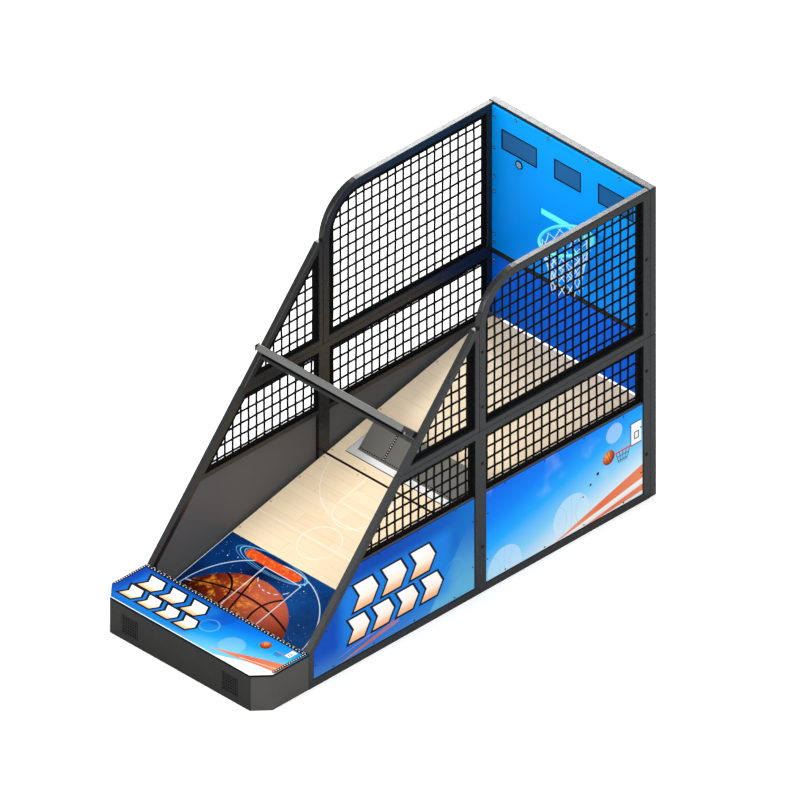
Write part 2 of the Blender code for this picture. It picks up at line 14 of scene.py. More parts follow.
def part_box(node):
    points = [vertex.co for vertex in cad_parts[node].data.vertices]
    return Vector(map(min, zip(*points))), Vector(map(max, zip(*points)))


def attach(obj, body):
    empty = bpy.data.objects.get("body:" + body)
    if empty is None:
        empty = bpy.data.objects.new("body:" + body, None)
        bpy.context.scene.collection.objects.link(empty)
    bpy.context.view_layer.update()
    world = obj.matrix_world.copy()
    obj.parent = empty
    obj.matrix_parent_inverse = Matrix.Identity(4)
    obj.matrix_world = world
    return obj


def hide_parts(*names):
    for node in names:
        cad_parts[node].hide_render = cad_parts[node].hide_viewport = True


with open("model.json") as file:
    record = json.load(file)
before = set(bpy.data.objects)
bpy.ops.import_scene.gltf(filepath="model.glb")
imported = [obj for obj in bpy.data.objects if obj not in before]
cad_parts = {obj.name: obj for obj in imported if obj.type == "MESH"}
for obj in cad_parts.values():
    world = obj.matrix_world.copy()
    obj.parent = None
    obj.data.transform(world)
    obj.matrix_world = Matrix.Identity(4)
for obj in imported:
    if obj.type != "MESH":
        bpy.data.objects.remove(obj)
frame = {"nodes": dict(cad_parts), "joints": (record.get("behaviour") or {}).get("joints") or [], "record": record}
NODES = frame["nodes"]
BODY_OF = {
    node: body for body, nodes in frame["record"]["behaviour"]["bodies"].items() for node in nodes
}
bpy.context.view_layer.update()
SIDES = (("left", -1), ("right", 1))
ACROSS, UP, TO_PLAYER = Vector((1, 0, 0)), Vector((0, 0, 1)), Vector((0, -1, 0))

# Places that many pieces share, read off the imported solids
shell_low, shell_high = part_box("console_shell")
OUTER = abs(shell_low.x)                        # half the machine's width
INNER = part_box("rear_upper_frame_right")[0].x   # half the width between the side frames
FRONT_Y, SIDE_Y = shell_low.y, shell_high.y     # the console's front face; where the sides start
SPLIT_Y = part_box("rear_lower_frame_right")[0].y
back_low, back_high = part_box("back_upper_frame")
BACK_START_Y, BACK_Y = back_low.y, back_high.y
SPLIT_Z, TOP_Z = back_low.z, back_high.z
BOARD_FACE_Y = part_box("backboard_upper")[0].y
PANEL_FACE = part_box("rear_side_panel_right")[1].x
lid_low, lid_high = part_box("console_lid")
LID_TOP = lid_high.z

# The ramp's boards end on one sloping surface: the front board's upper edge and the rear one's
ramp_near, ramp_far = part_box("ramp_front_board")[1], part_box("ramp_rear_board")[1]
RAMP_HALF = ramp_near.x
RAMP_RISE = (ramp_far.z - ramp_near.z) / (ramp_far.y - ramp_near.y)
RAMP_ANGLE = math.atan(RAMP_RISE)
RAMP_UP = Vector((0, -math.sin(RAMP_ANGLE), math.cos(RAMP_ANGLE)))


def on_ramp(x, y):
    """The point of the ramp's surface at x across and y along the machine."""
    return Vector((x, y, ramp_near.z - (ramp_near.y - y) * RAMP_RISE))


# ---------------------------------------------------------------- finishes


def srgb(red, green, blue):
    """A screen colour, 0 to 255, as the linear colour that shaders take."""
    scaled = (part / 255 for part in (red, green, blue))
    return tuple(
        part / 12.92 if part <= 0.04045 else ((part + 0.055) / 1.055) ** 2.4 for part in scaled
    )


class Finish:
    """A material, built up from masks and colours over the piece's own place in metres."""

    def __init__(self, name, colour, roughness, metallic=0.0, coat=0.0, shine=0.5):
        self.material = bpy.data.materials.new(name)
        self.material.use_nodes = True
        self.tree = self.material.node_tree
        self.shader = self.tree.nodes["Principled BSDF"]
        self.shader.inputs["Roughness"].default_value = roughness
        self.shader.inputs["Metallic"].default_value = metallic
        self.shader.inputs["Coat Weight"].default_value = coat
        self.shader.inputs["Specular IOR Level"].default_value = shine
        self.shader.inputs["Coat Roughness"].default_value = 0.15
        self.colour = colour
        self.place = self.tree.nodes.new("ShaderNodeTexCoord").outputs["Object"]
        split = self.tree.nodes.new("ShaderNodeSeparateXYZ")
        self.tree.links.new(self.place, split.inputs[0])
        self.x, self.y, self.z = split.outputs

    def put(self, socket, value):
        """Links a socket to another one, or sets it to a number or a colour."""
        if isinstance(value, bpy.types.NodeSocket):
            self.tree.links.new(value, socket)
        elif socket.type == "RGBA":
            socket.default_value = (*value, 1)
        else:
            socket.default_value = value

    def math(self, operation, *values):
        node = self.tree.nodes.new("ShaderNodeMath")
        node.operation = operation
        for socket, value in zip(node.inputs, values):
            self.put(socket, value)
        return node.outputs[0]

    def add(self, a, b):
        return self.math("ADD", a, b)

    def less(self, a, b):
        return self.math("SUBTRACT", a, b)

    def times(self, a, b):
        return self.math("MULTIPLY", a, b)

    def size(self, a):
        return self.math("ABSOLUTE", a)

    def rise(self, value, low, high):
        """0 below low, 1 above high, smooth between; low may be above high."""
        node = self.tree.nodes.new("ShaderNodeMapRange")
        node.interpolation_type = "SMOOTHSTEP"
        swapped = low > high
        self.put(node.inputs["Value"], value)
        node.inputs["From Min"].default_value = high if swapped else low
        node.inputs["From Max"].default_value = low if swapped else high
        node.inputs["To Min"].default_value = 1.0 if swapped else 0.0
        node.inputs["To Max"].default_value = 0.0 if swapped else 1.0
        return node.outputs["Result"]

    def mix(self, mask, a, b):
        """Colour a where the mask is 0, and b where it is 1."""
        node = self.tree.nodes.new("ShaderNodeMix")
        node.data_type = "RGBA"
        self.put(node.inputs["Factor"], mask)
        self.put(node.inputs[6], a)
        self.put(node.inputs[7], b)
        return node.outputs[2]

    def noise(self, scale, detail=2.0, stretch=(1, 1, 1), roughness=0.5):
        """Cloudy 0 to 1 values; a stretch under 1 draws them out along that axis."""
        scaled = self.tree.nodes.new("ShaderNodeMapping")
        self.put(scaled.inputs["Vector"], self.place)
        scaled.inputs["Scale"].default_value = stretch
        node = self.tree.nodes.new("ShaderNodeTexNoise")
        self.put(node.inputs["Vector"], scaled.outputs[0])
        node.inputs["Scale"].default_value = scale
        node.inputs["Detail"].default_value = detail
        node.inputs["Roughness"].default_value = roughness
        return node.outputs["Fac"]

    def cells(self, scale):
        """Distance from the nearest of many scattered points."""
        node = self.tree.nodes.new("ShaderNodeTexVoronoi")
        self.put(node.inputs["Vector"], self.place)
        node.inputs["Scale"].default_value = scale
        return node.outputs["Distance"]

    def fade(self, value, *stops):
        """A run of colours: (position, colour) pairs along a 0 to 1 value."""
        node = self.tree.nodes.new("ShaderNodeValToRGB")
        self.put(node.inputs[0], value)
        places = node.color_ramp.elements
        while len(places) < len(stops):
            places.new(1.0)
        for place, (position, colour) in zip(places, stops):
            place.position = position
            place.color = (*colour, 1)
        return node.outputs[0]

    def paint(self, colour, mask, strength=1.0):
        """Lays a colour over what is there, where the mask is 1."""
        amount = mask if strength == 1.0 else self.times(mask, strength)
        self.colour = self.mix(amount, self.colour, colour)

    def tint(self, value, darkest, lightest):
        """Varies the colour's lightness with a 0 to 1 value."""
        node = self.tree.nodes.new("ShaderNodeHueSaturation")
        self.put(node.inputs["Value"], self.add(darkest, self.times(value, lightest - darkest)))
        self.put(node.inputs["Color"], self.colour)
        self.colour = node.outputs[0]

    def rough(self, value, low, high):
        """Varies the roughness with a 0 to 1 value."""
        amount = self.add(low, self.times(value, high - low))
        self.put(self.shader.inputs["Roughness"], amount)

    def bump(self, height, depth, strength):
        node = self.tree.nodes.new("ShaderNodeBump")
        node.inputs["Strength"].default_value = strength
        node.inputs["Distance"].default_value = depth
        self.put(node.inputs["Height"], height)
        self.put(self.shader.inputs["Normal"], node.outputs[0])

    def done(self):
        self.put(self.shader.inputs["Base Color"], self.colour)
        return self.material


class Print(Finish):
    """Flat shapes over two of the piece's directions, u across and v up, in metres."""

    edge = 0.0012           # how softly a shape ends

    def on(self, u, v):
        self.u, self.v = u, v

    def off(self, centre):
        """How far a place is from the centre, along u and along v."""
        return self.less(self.u, centre[0]), self.less(self.v, centre[1])

    def distance(self, centre, squash=1.0):
        du, dv = self.off(centre)
        dv = self.times(dv, squash)
        return self.math("SQRT", self.add(self.times(du, du), self.times(dv, dv)))

    def disc(self, centre, radius, soft=None):
        soft = soft or self.edge
        return self.rise(self.distance(centre), radius + soft, radius - soft)

    def ring(self, centre, radius, width, squash=1.0):
        away = self.size(self.less(self.distance(centre, squash), radius))
        return self.rise(away, width / 2 + self.edge, width / 2 - self.edge)

    def beyond(self, start, end, soft=None):
        """1 on the left of the line from start to end."""
        soft = soft or self.edge
        run = Vector(end) - Vector(start)
        run.normalize()
        du, dv = self.off(start)
        away = self.less(self.times(dv, run.x), self.times(du, run.y))
        return self.rise(away, -soft, soft)

    def within(self, value, low, high, soft=None):
        """1 where a value lies between low and high."""
        soft = soft or self.edge
        return self.times(
            self.rise(value, low - soft, low + soft), self.rise(value, high + soft, high - soft)
        )

    def line(self, start, end, width):
        """A straight stroke between two points."""
        run = Vector(end) - Vector(start)
        length = run.length
        run.normalize()
        du, dv = self.off(start)
        along = self.add(self.times(du, run.x), self.times(dv, run.y))
        away = self.less(self.times(dv, run.x), self.times(du, run.y))
        return self.times(
            self.within(along, 0, length), self.within(away, -width / 2, width / 2)
        )

    def lane(self, middle, half, near, far, bar, width):
        """A court's lane: two strokes from near to far, and one across them at bar."""
        low, high = middle - half, middle + half
        return self.any(
            self.line((low, near), (low, far), width),
            self.line((high, near), (high, far), width),
            self.line((low, bar), (high, bar), width),
        )

    def joints(self, value, pitch, low, high):
        """Thin seams, one every pitch, that fade in from low to high parts of a pitch away
        from the middle between two seams."""
        part = self.math("FRACT", self.math("DIVIDE", value, pitch))
        return self.rise(self.size(self.less(part, 0.5)), low, high)

    def both(self, *masks):
        """1 where every mask is."""
        found = masks[0]
        for mask in masks[1:]:
            found = self.times(found, mask)
        return found

    def any(self, *masks):
        """1 where at least one mask is."""
        found = masks[0]
        for mask in masks[1:]:
            found = self.math("MAXIMUM", found, mask)
        return found

    def chevrons(self, start, pitch, count, height, width, grow=0.0):
        """A row of arrowheads pointing along u, from start at their middle height."""
        sweep, slant = 0.55, 1.2        # how far the tips lean, and how much more their sides grow
        du, dv = self.off(start)
        swept = self.add(du, self.times(self.size(dv), sweep))
        nearest = self.math("MAXIMUM", self.math("DIVIDE", swept, pitch), 0.0)
        nearest = self.math("ROUND", self.math("MINIMUM", nearest, count - 1.0))
        place = self.less(swept, self.times(nearest, pitch))
        return self.both(
            self.within(place, -width / 2 - grow * slant, width / 2 + grow * slant),
            self.within(dv, -height / 2 - grow, height / 2 + grow),
        )

    def ball(self, centre, radius, tilt=0.5):
        """A shaded ball with its four seams."""
        body = self.disc(centre, radius)
        shade = self.rise(
            self.distance((centre[0] - radius * 0.3, centre[1] + radius * 0.35)),
            radius * 0.1, radius * 1.3,
        )
        self.paint(self.fade(
            shade, (0, srgb(250, 160, 80)), (0.45, srgb(226, 104, 38)), (1, srgb(150, 52, 18))
        ), body)
        run = Vector((math.cos(tilt), math.sin(tilt)))
        rise = Vector((-run.y, run.x))
        middle = Vector(centre)
        width = radius * 0.055
        strokes = [
            self.line(middle - run * radius, middle + run * radius, width),
            self.line(middle - rise * radius, middle + rise * radius, width),
            self.ring(tuple(middle + run * radius * 1.15), radius * 0.78, width),
            self.ring(tuple(middle - run * radius * 1.15), radius * 0.78, width),
            self.ring(centre, radius, width),
        ]
        self.paint(srgb(24, 14, 10), self.both(self.any(*strokes), body))

    def hoop_mark(self, centre, size):
        """A plain drawing of a board, a ring and its net, facing the low-u side."""
        u, v = centre
        ink, white = srgb(28, 34, 46), srgb(246, 248, 250)
        for colour, low_u, high_u, low_v, high_v in (
            (ink, 0.9, 2.2, -0.1, 2.2), (white, 1.0, 2.2, 0.0, 2.1),        # the board
            (ink, 1.35, 1.9, 0.45, 1.2), (white, 1.45, 1.8, 0.55, 1.1),     # the square on it
        ):
            self.paint(colour, self.both(
                self.within(self.u, u + size * low_u, u + size * high_u),
                self.within(self.v, v + size * low_v, v + size * high_v),
            ))
        cords = []
        for place in range(5):
            top = u - size * 0.8 + place * size * 0.4
            foot = u - size * 0.45 + place * size * 0.225
            cords.append(self.line((top, v), (foot, v - size * 1.1), size * 0.07))
        for place in range(2):
            level = v - size * (0.4 + 0.45 * place)
            reach = size * (0.66 - 0.17 * place)
            cords.append(self.line((u - reach, level), (u + reach, level), size * 0.07))
        self.paint(srgb(28, 40, 52), self.any(*cords))
        rim = self.line((u - size * 0.9, v + size * 0.05), (u + size, v + size * 0.05), size * 0.16)
        self.paint(srgb(226, 60, 34), rim)


def console_coat_with_painted_shade():
    """The console's coat, with painted shade: its front face is painted much darker, for the shade that falls on
    it.
    """
    coat = Finish("console_coat_with_painted_shade", srgb(70, 69, 67), 0.50, metallic=0.15, shine=0.22)
    # Painted shade: a darker coat on the front face stands in for the shade there
    coat.paint(srgb(29, 29, 28), coat.rise(coat.y, FRONT_Y + 0.004, FRONT_Y + 0.003))
    coat.tint(coat.noise(9, 3), 0.90, 1.10)
    coat.rough(coat.noise(24, 3), 0.40, 0.58)
    coat.bump(coat.noise(900, 1), 0.0004, 0.35)
    return coat.done()


def steel_coat(name, colour, roughness=0.42, shine=0.5):
    """Powder-coated steel: a fine orange-peel skin and faint rubbed patches."""
    coat = Finish(name, colour, roughness, metallic=0.35, shine=shine)
    coat.tint(coat.noise(9, 3), 0.88, 1.12)
    coat.rough(coat.noise(24, 3), roughness - 0.08, roughness + 0.10)
    coat.bump(coat.noise(900, 1), 0.0004, 0.35)
    return coat.done()


def brushed_zinc():
    """Zinc plate, brushed across the machine."""
    zinc = Finish("zinc_plate", srgb(186, 189, 192), 0.34, metallic=0.9)
    streak = zinc.noise(60, 3, stretch=(0.06, 1, 1))
    zinc.tint(streak, 0.80, 1.12)
    zinc.rough(streak, 0.26, 0.44)
    zinc.bump(streak, 0.0002, 0.3)
    return zinc.done()


def cord_finish(name, colour, twist=900, shine=0.5):
    """Braided cord: fine slanting strands and a dull nap."""
    cord = Finish(name, colour, 0.82, shine=shine)
    strands = cord.noise(twist, 1, stretch=(1, 1, 0.5))
    cord.tint(strands, 0.7, 1.35)
    cord.bump(strands, 0.0006, 0.6)
    return cord.done()


def moulded(name, colour, roughness=0.5, shine=0.5):
    """Moulded plastic or rubber with a fine grain."""
    skin = Finish(name, colour, roughness, shine=shine)
    skin.tint(skin.noise(30, 2), 0.94, 1.06)
    skin.bump(skin.cells(1400), 0.0002, 0.3)
    return skin.done()


def hoop_enamel():
    """Glossy cyan enamel."""
    enamel = Finish("hoop_enamel", srgb(92, 240, 246), 0.28, coat=0.4)
    enamel.tint(enamel.noise(14, 2), 0.94, 1.04)
    enamel.bump(enamel.noise(300, 1), 0.0002, 0.2)
    return enamel.done()


def smoked_window():
    """Dark display window with the faint dots of the numeral cells behind it."""
    glass = Finish("smoked_window", srgb(20, 98, 158), 0.34, shine=0.12)
    pitch = 0.010
    dot_x = glass.less(glass.math("PINGPONG", glass.x, pitch / 2), pitch / 4)
    dot_z = glass.less(glass.math("PINGPONG", glass.z, pitch / 2), pitch / 4)
    away = glass.math("SQRT", glass.add(glass.times(dot_x, dot_x), glass.times(dot_z, dot_z)))
    glass.paint(srgb(14, 78, 132), glass.rise(away, 0.0022, 0.0014), 0.5)
    glass.tint(glass.noise(5, 2), 0.92, 1.08)
    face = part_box("display_left")[0].y
    glass.paint(srgb(8, 8, 10), glass.rise(glass.y, face + 0.0009, face + 0.0012))
    return glass.done()


def backboard_print():
    """Bright blue on the upper board, and a deeper blue below the split."""
    board = Finish("backboard_print", srgb(0, 146, 255), 0.42, shine=0.05)
    board.colour = board.fade(
        board.rise(board.z, SPLIT_Z, TOP_Z), (0.0, srgb(0, 144, 255)), (1.0, srgb(0, 158, 255))
    )
    board.paint(srgb(0, 104, 240), board.rise(board.z, SPLIT_Z + 0.001, SPLIT_Z - 0.001))
    board.tint(board.noise(3, 2), 0.97, 1.03)
    board.bump(board.noise(700, 1), 0.0002, 0.15)
    return board.done()


EMBLEM_FILL = ((0.0, srgb(246, 184, 134)), (0.32, srgb(253, 236, 220)), (1.0, srgb(250, 250, 250)))


def emblem(art, rows, glow, halo):
    """Rows of bold arrowheads in white, outlined in near-black over a soft glow.

    A row gives the middle of its first arrowhead, and their pitch, number, height and width.
    """
    art.paint(halo, glow, 0.75)
    for row in rows:
        art.paint(srgb(12, 16, 26), art.chevrons(*row, grow=0.011))
    for start, pitch, count, height, width in rows:
        low = start[1] - height / 2
        fill = art.fade(art.rise(art.v, low, low + height), *EMBLEM_FILL)
        art.paint(fill, art.chevrons(start, pitch, count, height, width))


def ghost_ball(art, centre, radius, strength):
    """A pale see-through ball with fine seams."""
    u, v = centre
    art.paint(srgb(214, 238, 252), art.disc(centre, radius, soft=0.003), strength)
    seams = art.any(
        art.ring((u + radius * 1.1, v), radius * 0.85, 0.003),
        art.ring((u - radius * 1.1, v), radius * 0.85, 0.003),
        art.line((u, v - radius), (u, v + radius), 0.003),
    )
    art.paint(srgb(120, 170, 205), art.both(seams, art.disc(centre, radius)), strength * 0.6)


def orange_streak(art, start, end, width):
    """A wedge of orange that widens from its start to its end."""
    start, end = Vector(start), Vector(end)
    rise = Vector((start.y - end.y, end.x - start.x)).normalized() * width
    low, high = end - rise / 2, end + rise / 2
    wedge = art.both(art.beyond(start, low), art.beyond(high, start))
    along = art.rise(art.u, start.x, end.x)
    colour = art.fade(
        along, (0.0, srgb(244, 150, 96)), (0.5, srgb(240, 106, 42)), (1.0, srgb(236, 128, 74))
    )
    art.paint(colour, art.both(wedge, art.within(art.u, start.x, end.x)), 0.95)


def front_drawing(art):
    """Deep blue with a lighter corner, orange streaks and two rows of arrowheads."""
    spread = art.rise(art.add(art.u, art.times(art.v, -0.6)), 0.1, 1.0)
    art.colour = art.fade(
        spread, (0.0, srgb(0, 88, 212)), (0.5, srgb(0, 112, 232)), (1.0, srgb(22, 156, 248))
    )
    light = art.fade(
        art.rise(art.v, 0.05, 0.45), (0.0, srgb(120, 214, 255)), (1.0, srgb(24, 128, 244))
    )
    art.paint(light, art.beyond((1.06, 0.50), (0.76, 0.06), soft=0.004), 0.85)
    art.paint(srgb(120, 206, 255), art.rise(art.v, 0.16, 0.02), 0.35)
    art.paint(srgb(90, 190, 255), art.ring((0.90, 0.20), 0.055, 0.014), 0.5)
    art.paint(srgb(30, 120, 240), art.disc((0.885, 0.355), 0.045, soft=0.004), 0.7)
    orange_streak(art, (0.185, 0.040), (0.56, 0.108), 0.030)
    orange_streak(art, (0.180, 0.075), (0.44, 0.118), 0.010)
    art.tint(art.rise(art.v, 0.0, 0.45), 0.72, 0.62)
    glow = art.both(
        art.within(art.u, 0.20, 0.88, soft=0.05), art.within(art.v, 0.10, 0.43, soft=0.04)
    )
    rows = (
        ((0.375, 0.345), 0.176, 3, 0.138, 0.112),
        ((0.330, 0.183), 0.150, 4, 0.122, 0.096),
    )
    emblem(art, rows, glow, srgb(24, 132, 226))


def rear_drawing(art):
    """Sky blue that pales to the foot: ghost balls, orange streaks, a hoop and a ball."""
    spread = art.add(
        art.times(art.less(art.u, 1.10), 0.42), art.times(art.less(0.52, art.v), 1.60)
    )
    art.colour = art.fade(
        spread, (0.0, srgb(0, 98, 226)), (0.28, srgb(0, 128, 242)), (0.50, srgb(30, 166, 250)),
        (0.74, srgb(132, 208, 248)), (0.96, srgb(230, 243, 250)),
    )
    art.paint(srgb(226, 244, 254), art.rise(art.noise(4, 3), 0.55, 0.8), 0.35)
    ghost_ball(art, (1.626, 0.135), 0.112, 0.55)
    ghost_ball(art, (1.214, 0.070), 0.105, 0.50)
    ghost_ball(art, (1.892, 0.446), 0.050, 0.45)
    orange_streak(art, (1.50, 0.036), (2.12, 0.176), 0.075)
    art.paint(srgb(255, 244, 232), art.line((1.60, 0.046), (2.12, 0.128), 0.010))
    orange_streak(art, (1.62, 0.030), (2.12, 0.085), 0.040)
    art.hoop_mark((1.945, 0.330), 0.052)
    for place, centre in enumerate(((1.70, 0.20), (1.745, 0.243), (1.79, 0.280))):
        art.paint(srgb(10, 12, 16), art.disc(centre, 0.004 + 0.002 * place))
    art.ball((1.858, 0.3326), 0.036, tilt=0.4)


def side_print(name, drawing):
    """The side panels: a drawing on their outer faces, plain dark grey on their inner ones."""
    art = Print(name, srgb(10, 104, 236), 0.40, shine=0.06)
    art.on(art.less(art.y, SIDE_Y), art.z)
    drawing(art)
    inside = art.less(1.0, art.rise(art.size(art.x), PANEL_FACE - 0.0014, PANEL_FACE - 0.0008))
    art.paint(srgb(95, 96, 96), inside)
    art.bump(art.noise(500, 1), 0.0002, 0.15)
    return art.done()


def lid_print():
    """The console's top: blue, arrowheads, a small ball and hoop; black edges, grey below."""
    art = Print("lid_art", srgb(10, 100, 236), 0.55, shine=0.02)
    art.on(art.x, art.less(art.y, SIDE_Y))
    spread = art.rise(art.less(art.times(art.u, 0.55), art.times(art.v, 1.5)), -0.1, 0.62)
    art.colour = art.fade(
        spread, (0.0, srgb(0, 84, 214)), (0.35, srgb(0, 122, 238)), (0.7, srgb(24, 172, 250)),
        (1.0, srgb(130, 216, 250)),
    )
    art.paint(srgb(0, 84, 206), art.disc((0.02, -0.06), 0.075, soft=0.006), 0.5)
    art.paint(srgb(170, 224, 252), art.disc((0.213, -0.190), 0.062, soft=0.004), 0.35)
    art.paint(srgb(120, 206, 255), art.ring((0.035, -0.150), 0.045, 0.008), 0.5)
    art.paint(srgb(250, 250, 250), art.beyond((0.50, -0.170), (0.22, -0.288)))
    orange_streak(art, (0.15, -0.268), (0.50, -0.165), 0.075)
    art.paint(srgb(252, 246, 238), art.line((0.30, -0.232), (0.50, -0.178), 0.004), 0.8)
    art.hoop_mark((0.405, -0.085), 0.026)
    art.ball((0.318, -0.085), 0.027)
    art.tint(art.rise(art.u, -0.30, 0.32), 0.50, 0.80)
    glow = art.both(
        art.within(art.u, -0.44, 0.0, soft=0.03), art.within(art.v, -0.275, -0.035, soft=0.02)
    )
    rows = (
        ((-0.350, -0.100), 0.132, 3, 0.090, 0.082),
        ((-0.372, -0.205), 0.112, 4, 0.080, 0.070),
    )
    emblem(art, rows, glow, srgb(16, 112, 196))
    art.paint(srgb(14, 14, 14), art.rise(art.z, LID_TOP - 0.0012, LID_TOP - 0.0016))
    art.paint(srgb(70, 69, 67), art.rise(art.z, lid_low.z + 0.0012, lid_low.z + 0.0008))
    art.bump(art.noise(500, 1), 0.0002, 0.15)
    return art.done()


def ramp_print():
    """Night-blue board: stars, a big ball, a lit oval and court lines."""
    art = Print("ramp_print", srgb(10, 30, 74), 0.36, shine=0.08)
    art.on(art.x, art.less(art.y, SIDE_Y))
    art.colour = art.fade(
        art.noise(3.2, 4),
        (0.3, srgb(2, 20, 62)), (0.5, srgb(4, 50, 108)), (0.75, srgb(10, 78, 148)),
    )
    for scale, radius, strength in ((24, 0.10, 1.0), (60, 0.11, 0.8)):
        stars = art.rise(art.cells(scale), radius, radius * 0.4)
        keep = art.rise(art.noise(7, 1), 0.46, 0.56)
        art.paint(srgb(235, 244, 255), art.both(stars, keep), strength)
    body = art.disc((-0.115, 0.015), 0.335)
    shade = art.rise(art.distance((-0.02, 0.30)), 0.05, 0.46)
    art.paint(art.fade(
        shade, (0.0, srgb(184, 88, 62)), (0.35, srgb(138, 48, 24)), (0.72, srgb(92, 24, 10)),
        (1.0, srgb(46, 8, 5)),
    ), body)
    flecks = art.rise(art.noise(17, 5, roughness=0.72), 0.50, 0.66)
    lit = art.rise(art.distance((-0.20, 0.16)), 0.30, 0.06)
    art.paint(srgb(255, 156, 48), art.both(flecks, body, lit), 0.85)
    seams = art.any(
        art.line((-0.105, 0.0), (-0.180, 0.36), 0.010),
        art.ring((-0.110, -0.500), 0.738, 0.010),
        art.ring((-0.330, 0.170), 0.130, 0.011),
        art.ring((0.120, 0.190), 0.152, 0.011),
    )
    art.paint(srgb(22, 10, 8), art.both(seams, body))
    lane_u, lane_half, lane_end, wide = -0.077, 0.110, 0.4165, 0.0045
    chalk = srgb(226, 238, 250)
    lines = art.any(
        art.ring((-0.060, 0.090), 0.380, wide),
        art.lane(lane_u, lane_half, 0.0, lane_end, lane_end, wide),
        art.line((-0.43, 0.165), (-0.40, 0.172), wide),
        art.line((0.30, 0.213), (0.345, 0.220), wide),
    )
    art.paint(chalk, lines, 0.85)
    dashes = art.rise(art.math("SINE", art.times(art.u, 190.0)), -0.2, 0.1)
    arc = art.both(art.ring((lane_u, lane_end), lane_half, 0.004), dashes)
    art.paint(chalk, art.both(arc, art.rise(art.v, 0.418, 0.416)), 0.8)
    oval_v, oval_ends = 0.4415, (-0.300, -0.020)
    for offset, size, strength in ((0.0, 0.200, 0.9), (0.012, 0.188, 0.6), (-0.014, 0.206, 0.4)):
        swirl = art.ring((-0.160 + offset, oval_v + offset / 3), size, 0.007, squash=4.0)
        art.paint(srgb(120, 204, 250), swirl, strength)
    ends = [art.disc((u, oval_v), 0.0245) for u in oval_ends]
    oval = art.both(
        art.within(art.v, 0.418, 0.465), art.any(*ends, art.within(art.u, *oval_ends))
    )
    art.paint(srgb(226, 78, 30), oval)
    art.paint(srgb(252, 130, 50), art.both(oval, art.rise(art.noise(60, 3), 0.5, 0.65)), 0.7)
    edge = art.any(art.rise(art.u, -0.462, -0.464), art.rise(art.v, 0.012, 0.009))
    art.paint(srgb(236, 240, 244), edge)
    art.rough(art.noise(40, 3), 0.20, 0.34)
    return art.done()


def maple_court():
    """Maple strips laid across the ramp, lacquered, with thin pale court lines."""
    wood = Print("maple_court", srgb(251, 229, 194), 0.36, shine=0.2)
    wood.on(wood.x, wood.less(wood.y, SIDE_Y))
    strip, length = 0.058, 0.62
    row = wood.math("FLOOR", wood.math("DIVIDE", wood.v, strip))
    shift = wood.math("FRACT", wood.times(row, 0.37))
    staggered = wood.add(wood.u, wood.times(shift, length))
    plank = wood.math("FLOOR", wood.math("DIVIDE", staggered, length))
    # A steady shade for each plank, scattered by the sine of its row and place
    scatter = wood.math("SINE", wood.add(wood.times(row, 12.9898), wood.times(plank, 78.233)))
    tone = wood.math("FRACT", wood.times(scatter, 437.58))
    wood.paint(srgb(244, 216, 176), wood.rise(tone, 0.35, 1.0), 0.45)
    grain = wood.noise(34, 5, stretch=(0.10, 1, 1), roughness=0.65)
    wood.paint(srgb(240, 208, 164), wood.rise(grain, 0.52, 0.72), 0.38)
    figure = wood.noise(150, 3, stretch=(0.05, 1, 1))
    wood.paint(srgb(226, 190, 142), wood.rise(figure, 0.58, 0.74), 0.22)
    long_joints = wood.joints(wood.v, strip, 0.482, 0.495)
    butt_joints = wood.joints(staggered, length, 0.4975, 0.4992)
    wood.paint(srgb(202, 160, 112), wood.any(long_joints, butt_joints), 0.45)
    lane_u, lane_half, lane_start, wide = -0.090, 0.110, 0.890, 0.0045
    half_circle = wood.ring((lane_u, lane_start), lane_half, wide)
    lines = wood.any(
        wood.ring((lane_u, 0.655), 0.100, wide),
        wood.within(wood.v, 0.653, 0.6575),
        wood.both(wood.ring((lane_u, 1.130), 0.335, wide), wood.rise(wood.v, 1.072, 1.068)),
        wood.lane(lane_u, lane_half, lane_start - 0.005, 1.068, lane_start, wide),
        wood.both(half_circle, wood.rise(wood.v, 1.2, 0.7)),
    )
    wood.paint(srgb(255, 248, 236), lines, 0.85)
    wood.rough(grain, 0.26, 0.40)
    wood.bump(wood.less(grain, long_joints), 0.0004, 0.25)
    return wood.done()


def shield_enamel_painted_glow():
    """Cyan enamel with a painted glow: a faint emission lifts it out of the shade of the board round the slot."""
    lit = Finish("slot_shield_enamel", srgb(112, 248, 252), 0.4, shine=0.2)
    # Painted light: the shield is no lamp, yet this emission makes it glow
    lit.shader.inputs["Emission Color"].default_value = (*srgb(70, 240, 250), 1)
    lit.shader.inputs["Emission Strength"].default_value = 0.30
    lit.tint(lit.noise(20, 2), 0.97, 1.02)
    return lit.done()


def grey_flap():
    """The gate's grey sheet."""
    flap = Finish("grey_sheet", srgb(106, 104, 99), 0.42, metallic=0.1)
    flap.tint(flap.noise(7, 3), 0.93, 1.06)
    flap.bump(flap.noise(800, 1), 0.0003, 0.3)
    return flap.done()


FRAME_COAT = steel_coat("frame_coat", srgb(34, 36, 37), 0.28, shine=0.45)
CONSOLE_COAT = console_coat_with_painted_shade()
DARK_COAT = steel_coat("dark_coat", srgb(34, 34, 35), 0.5, shine=0.25)
GRILLE_COAT = steel_coat("grille_coat", srgb(22, 22, 22), 0.5, shine=0.2)
WHITE_COAT = steel_coat("white_coat", srgb(240, 240, 238), 0.36)
ZINC = brushed_zinc()
BLACK_CORD = cord_finish("black_cord", srgb(10, 10, 10), shine=0.1)
WHITE_CORD = cord_finish("white_cord", srgb(214, 240, 250), 1400)
WEBBING = cord_finish("black_webbing", srgb(9, 9, 9), 500, shine=0.1)
RUBBER = moulded("black_rubber", srgb(11, 11, 11), 0.7, shine=0.12)
PALE_TRIM = moulded("pale_trim", srgb(232, 232, 228), 0.4)
SPEAKER_CONE = moulded("speaker_cone", srgb(26, 26, 28), 0.75)
GLASS = smoked_window()
ENAMEL = hoop_enamel()
FLAP = grey_flap()

# ---------------------------------------------------------------- modelling


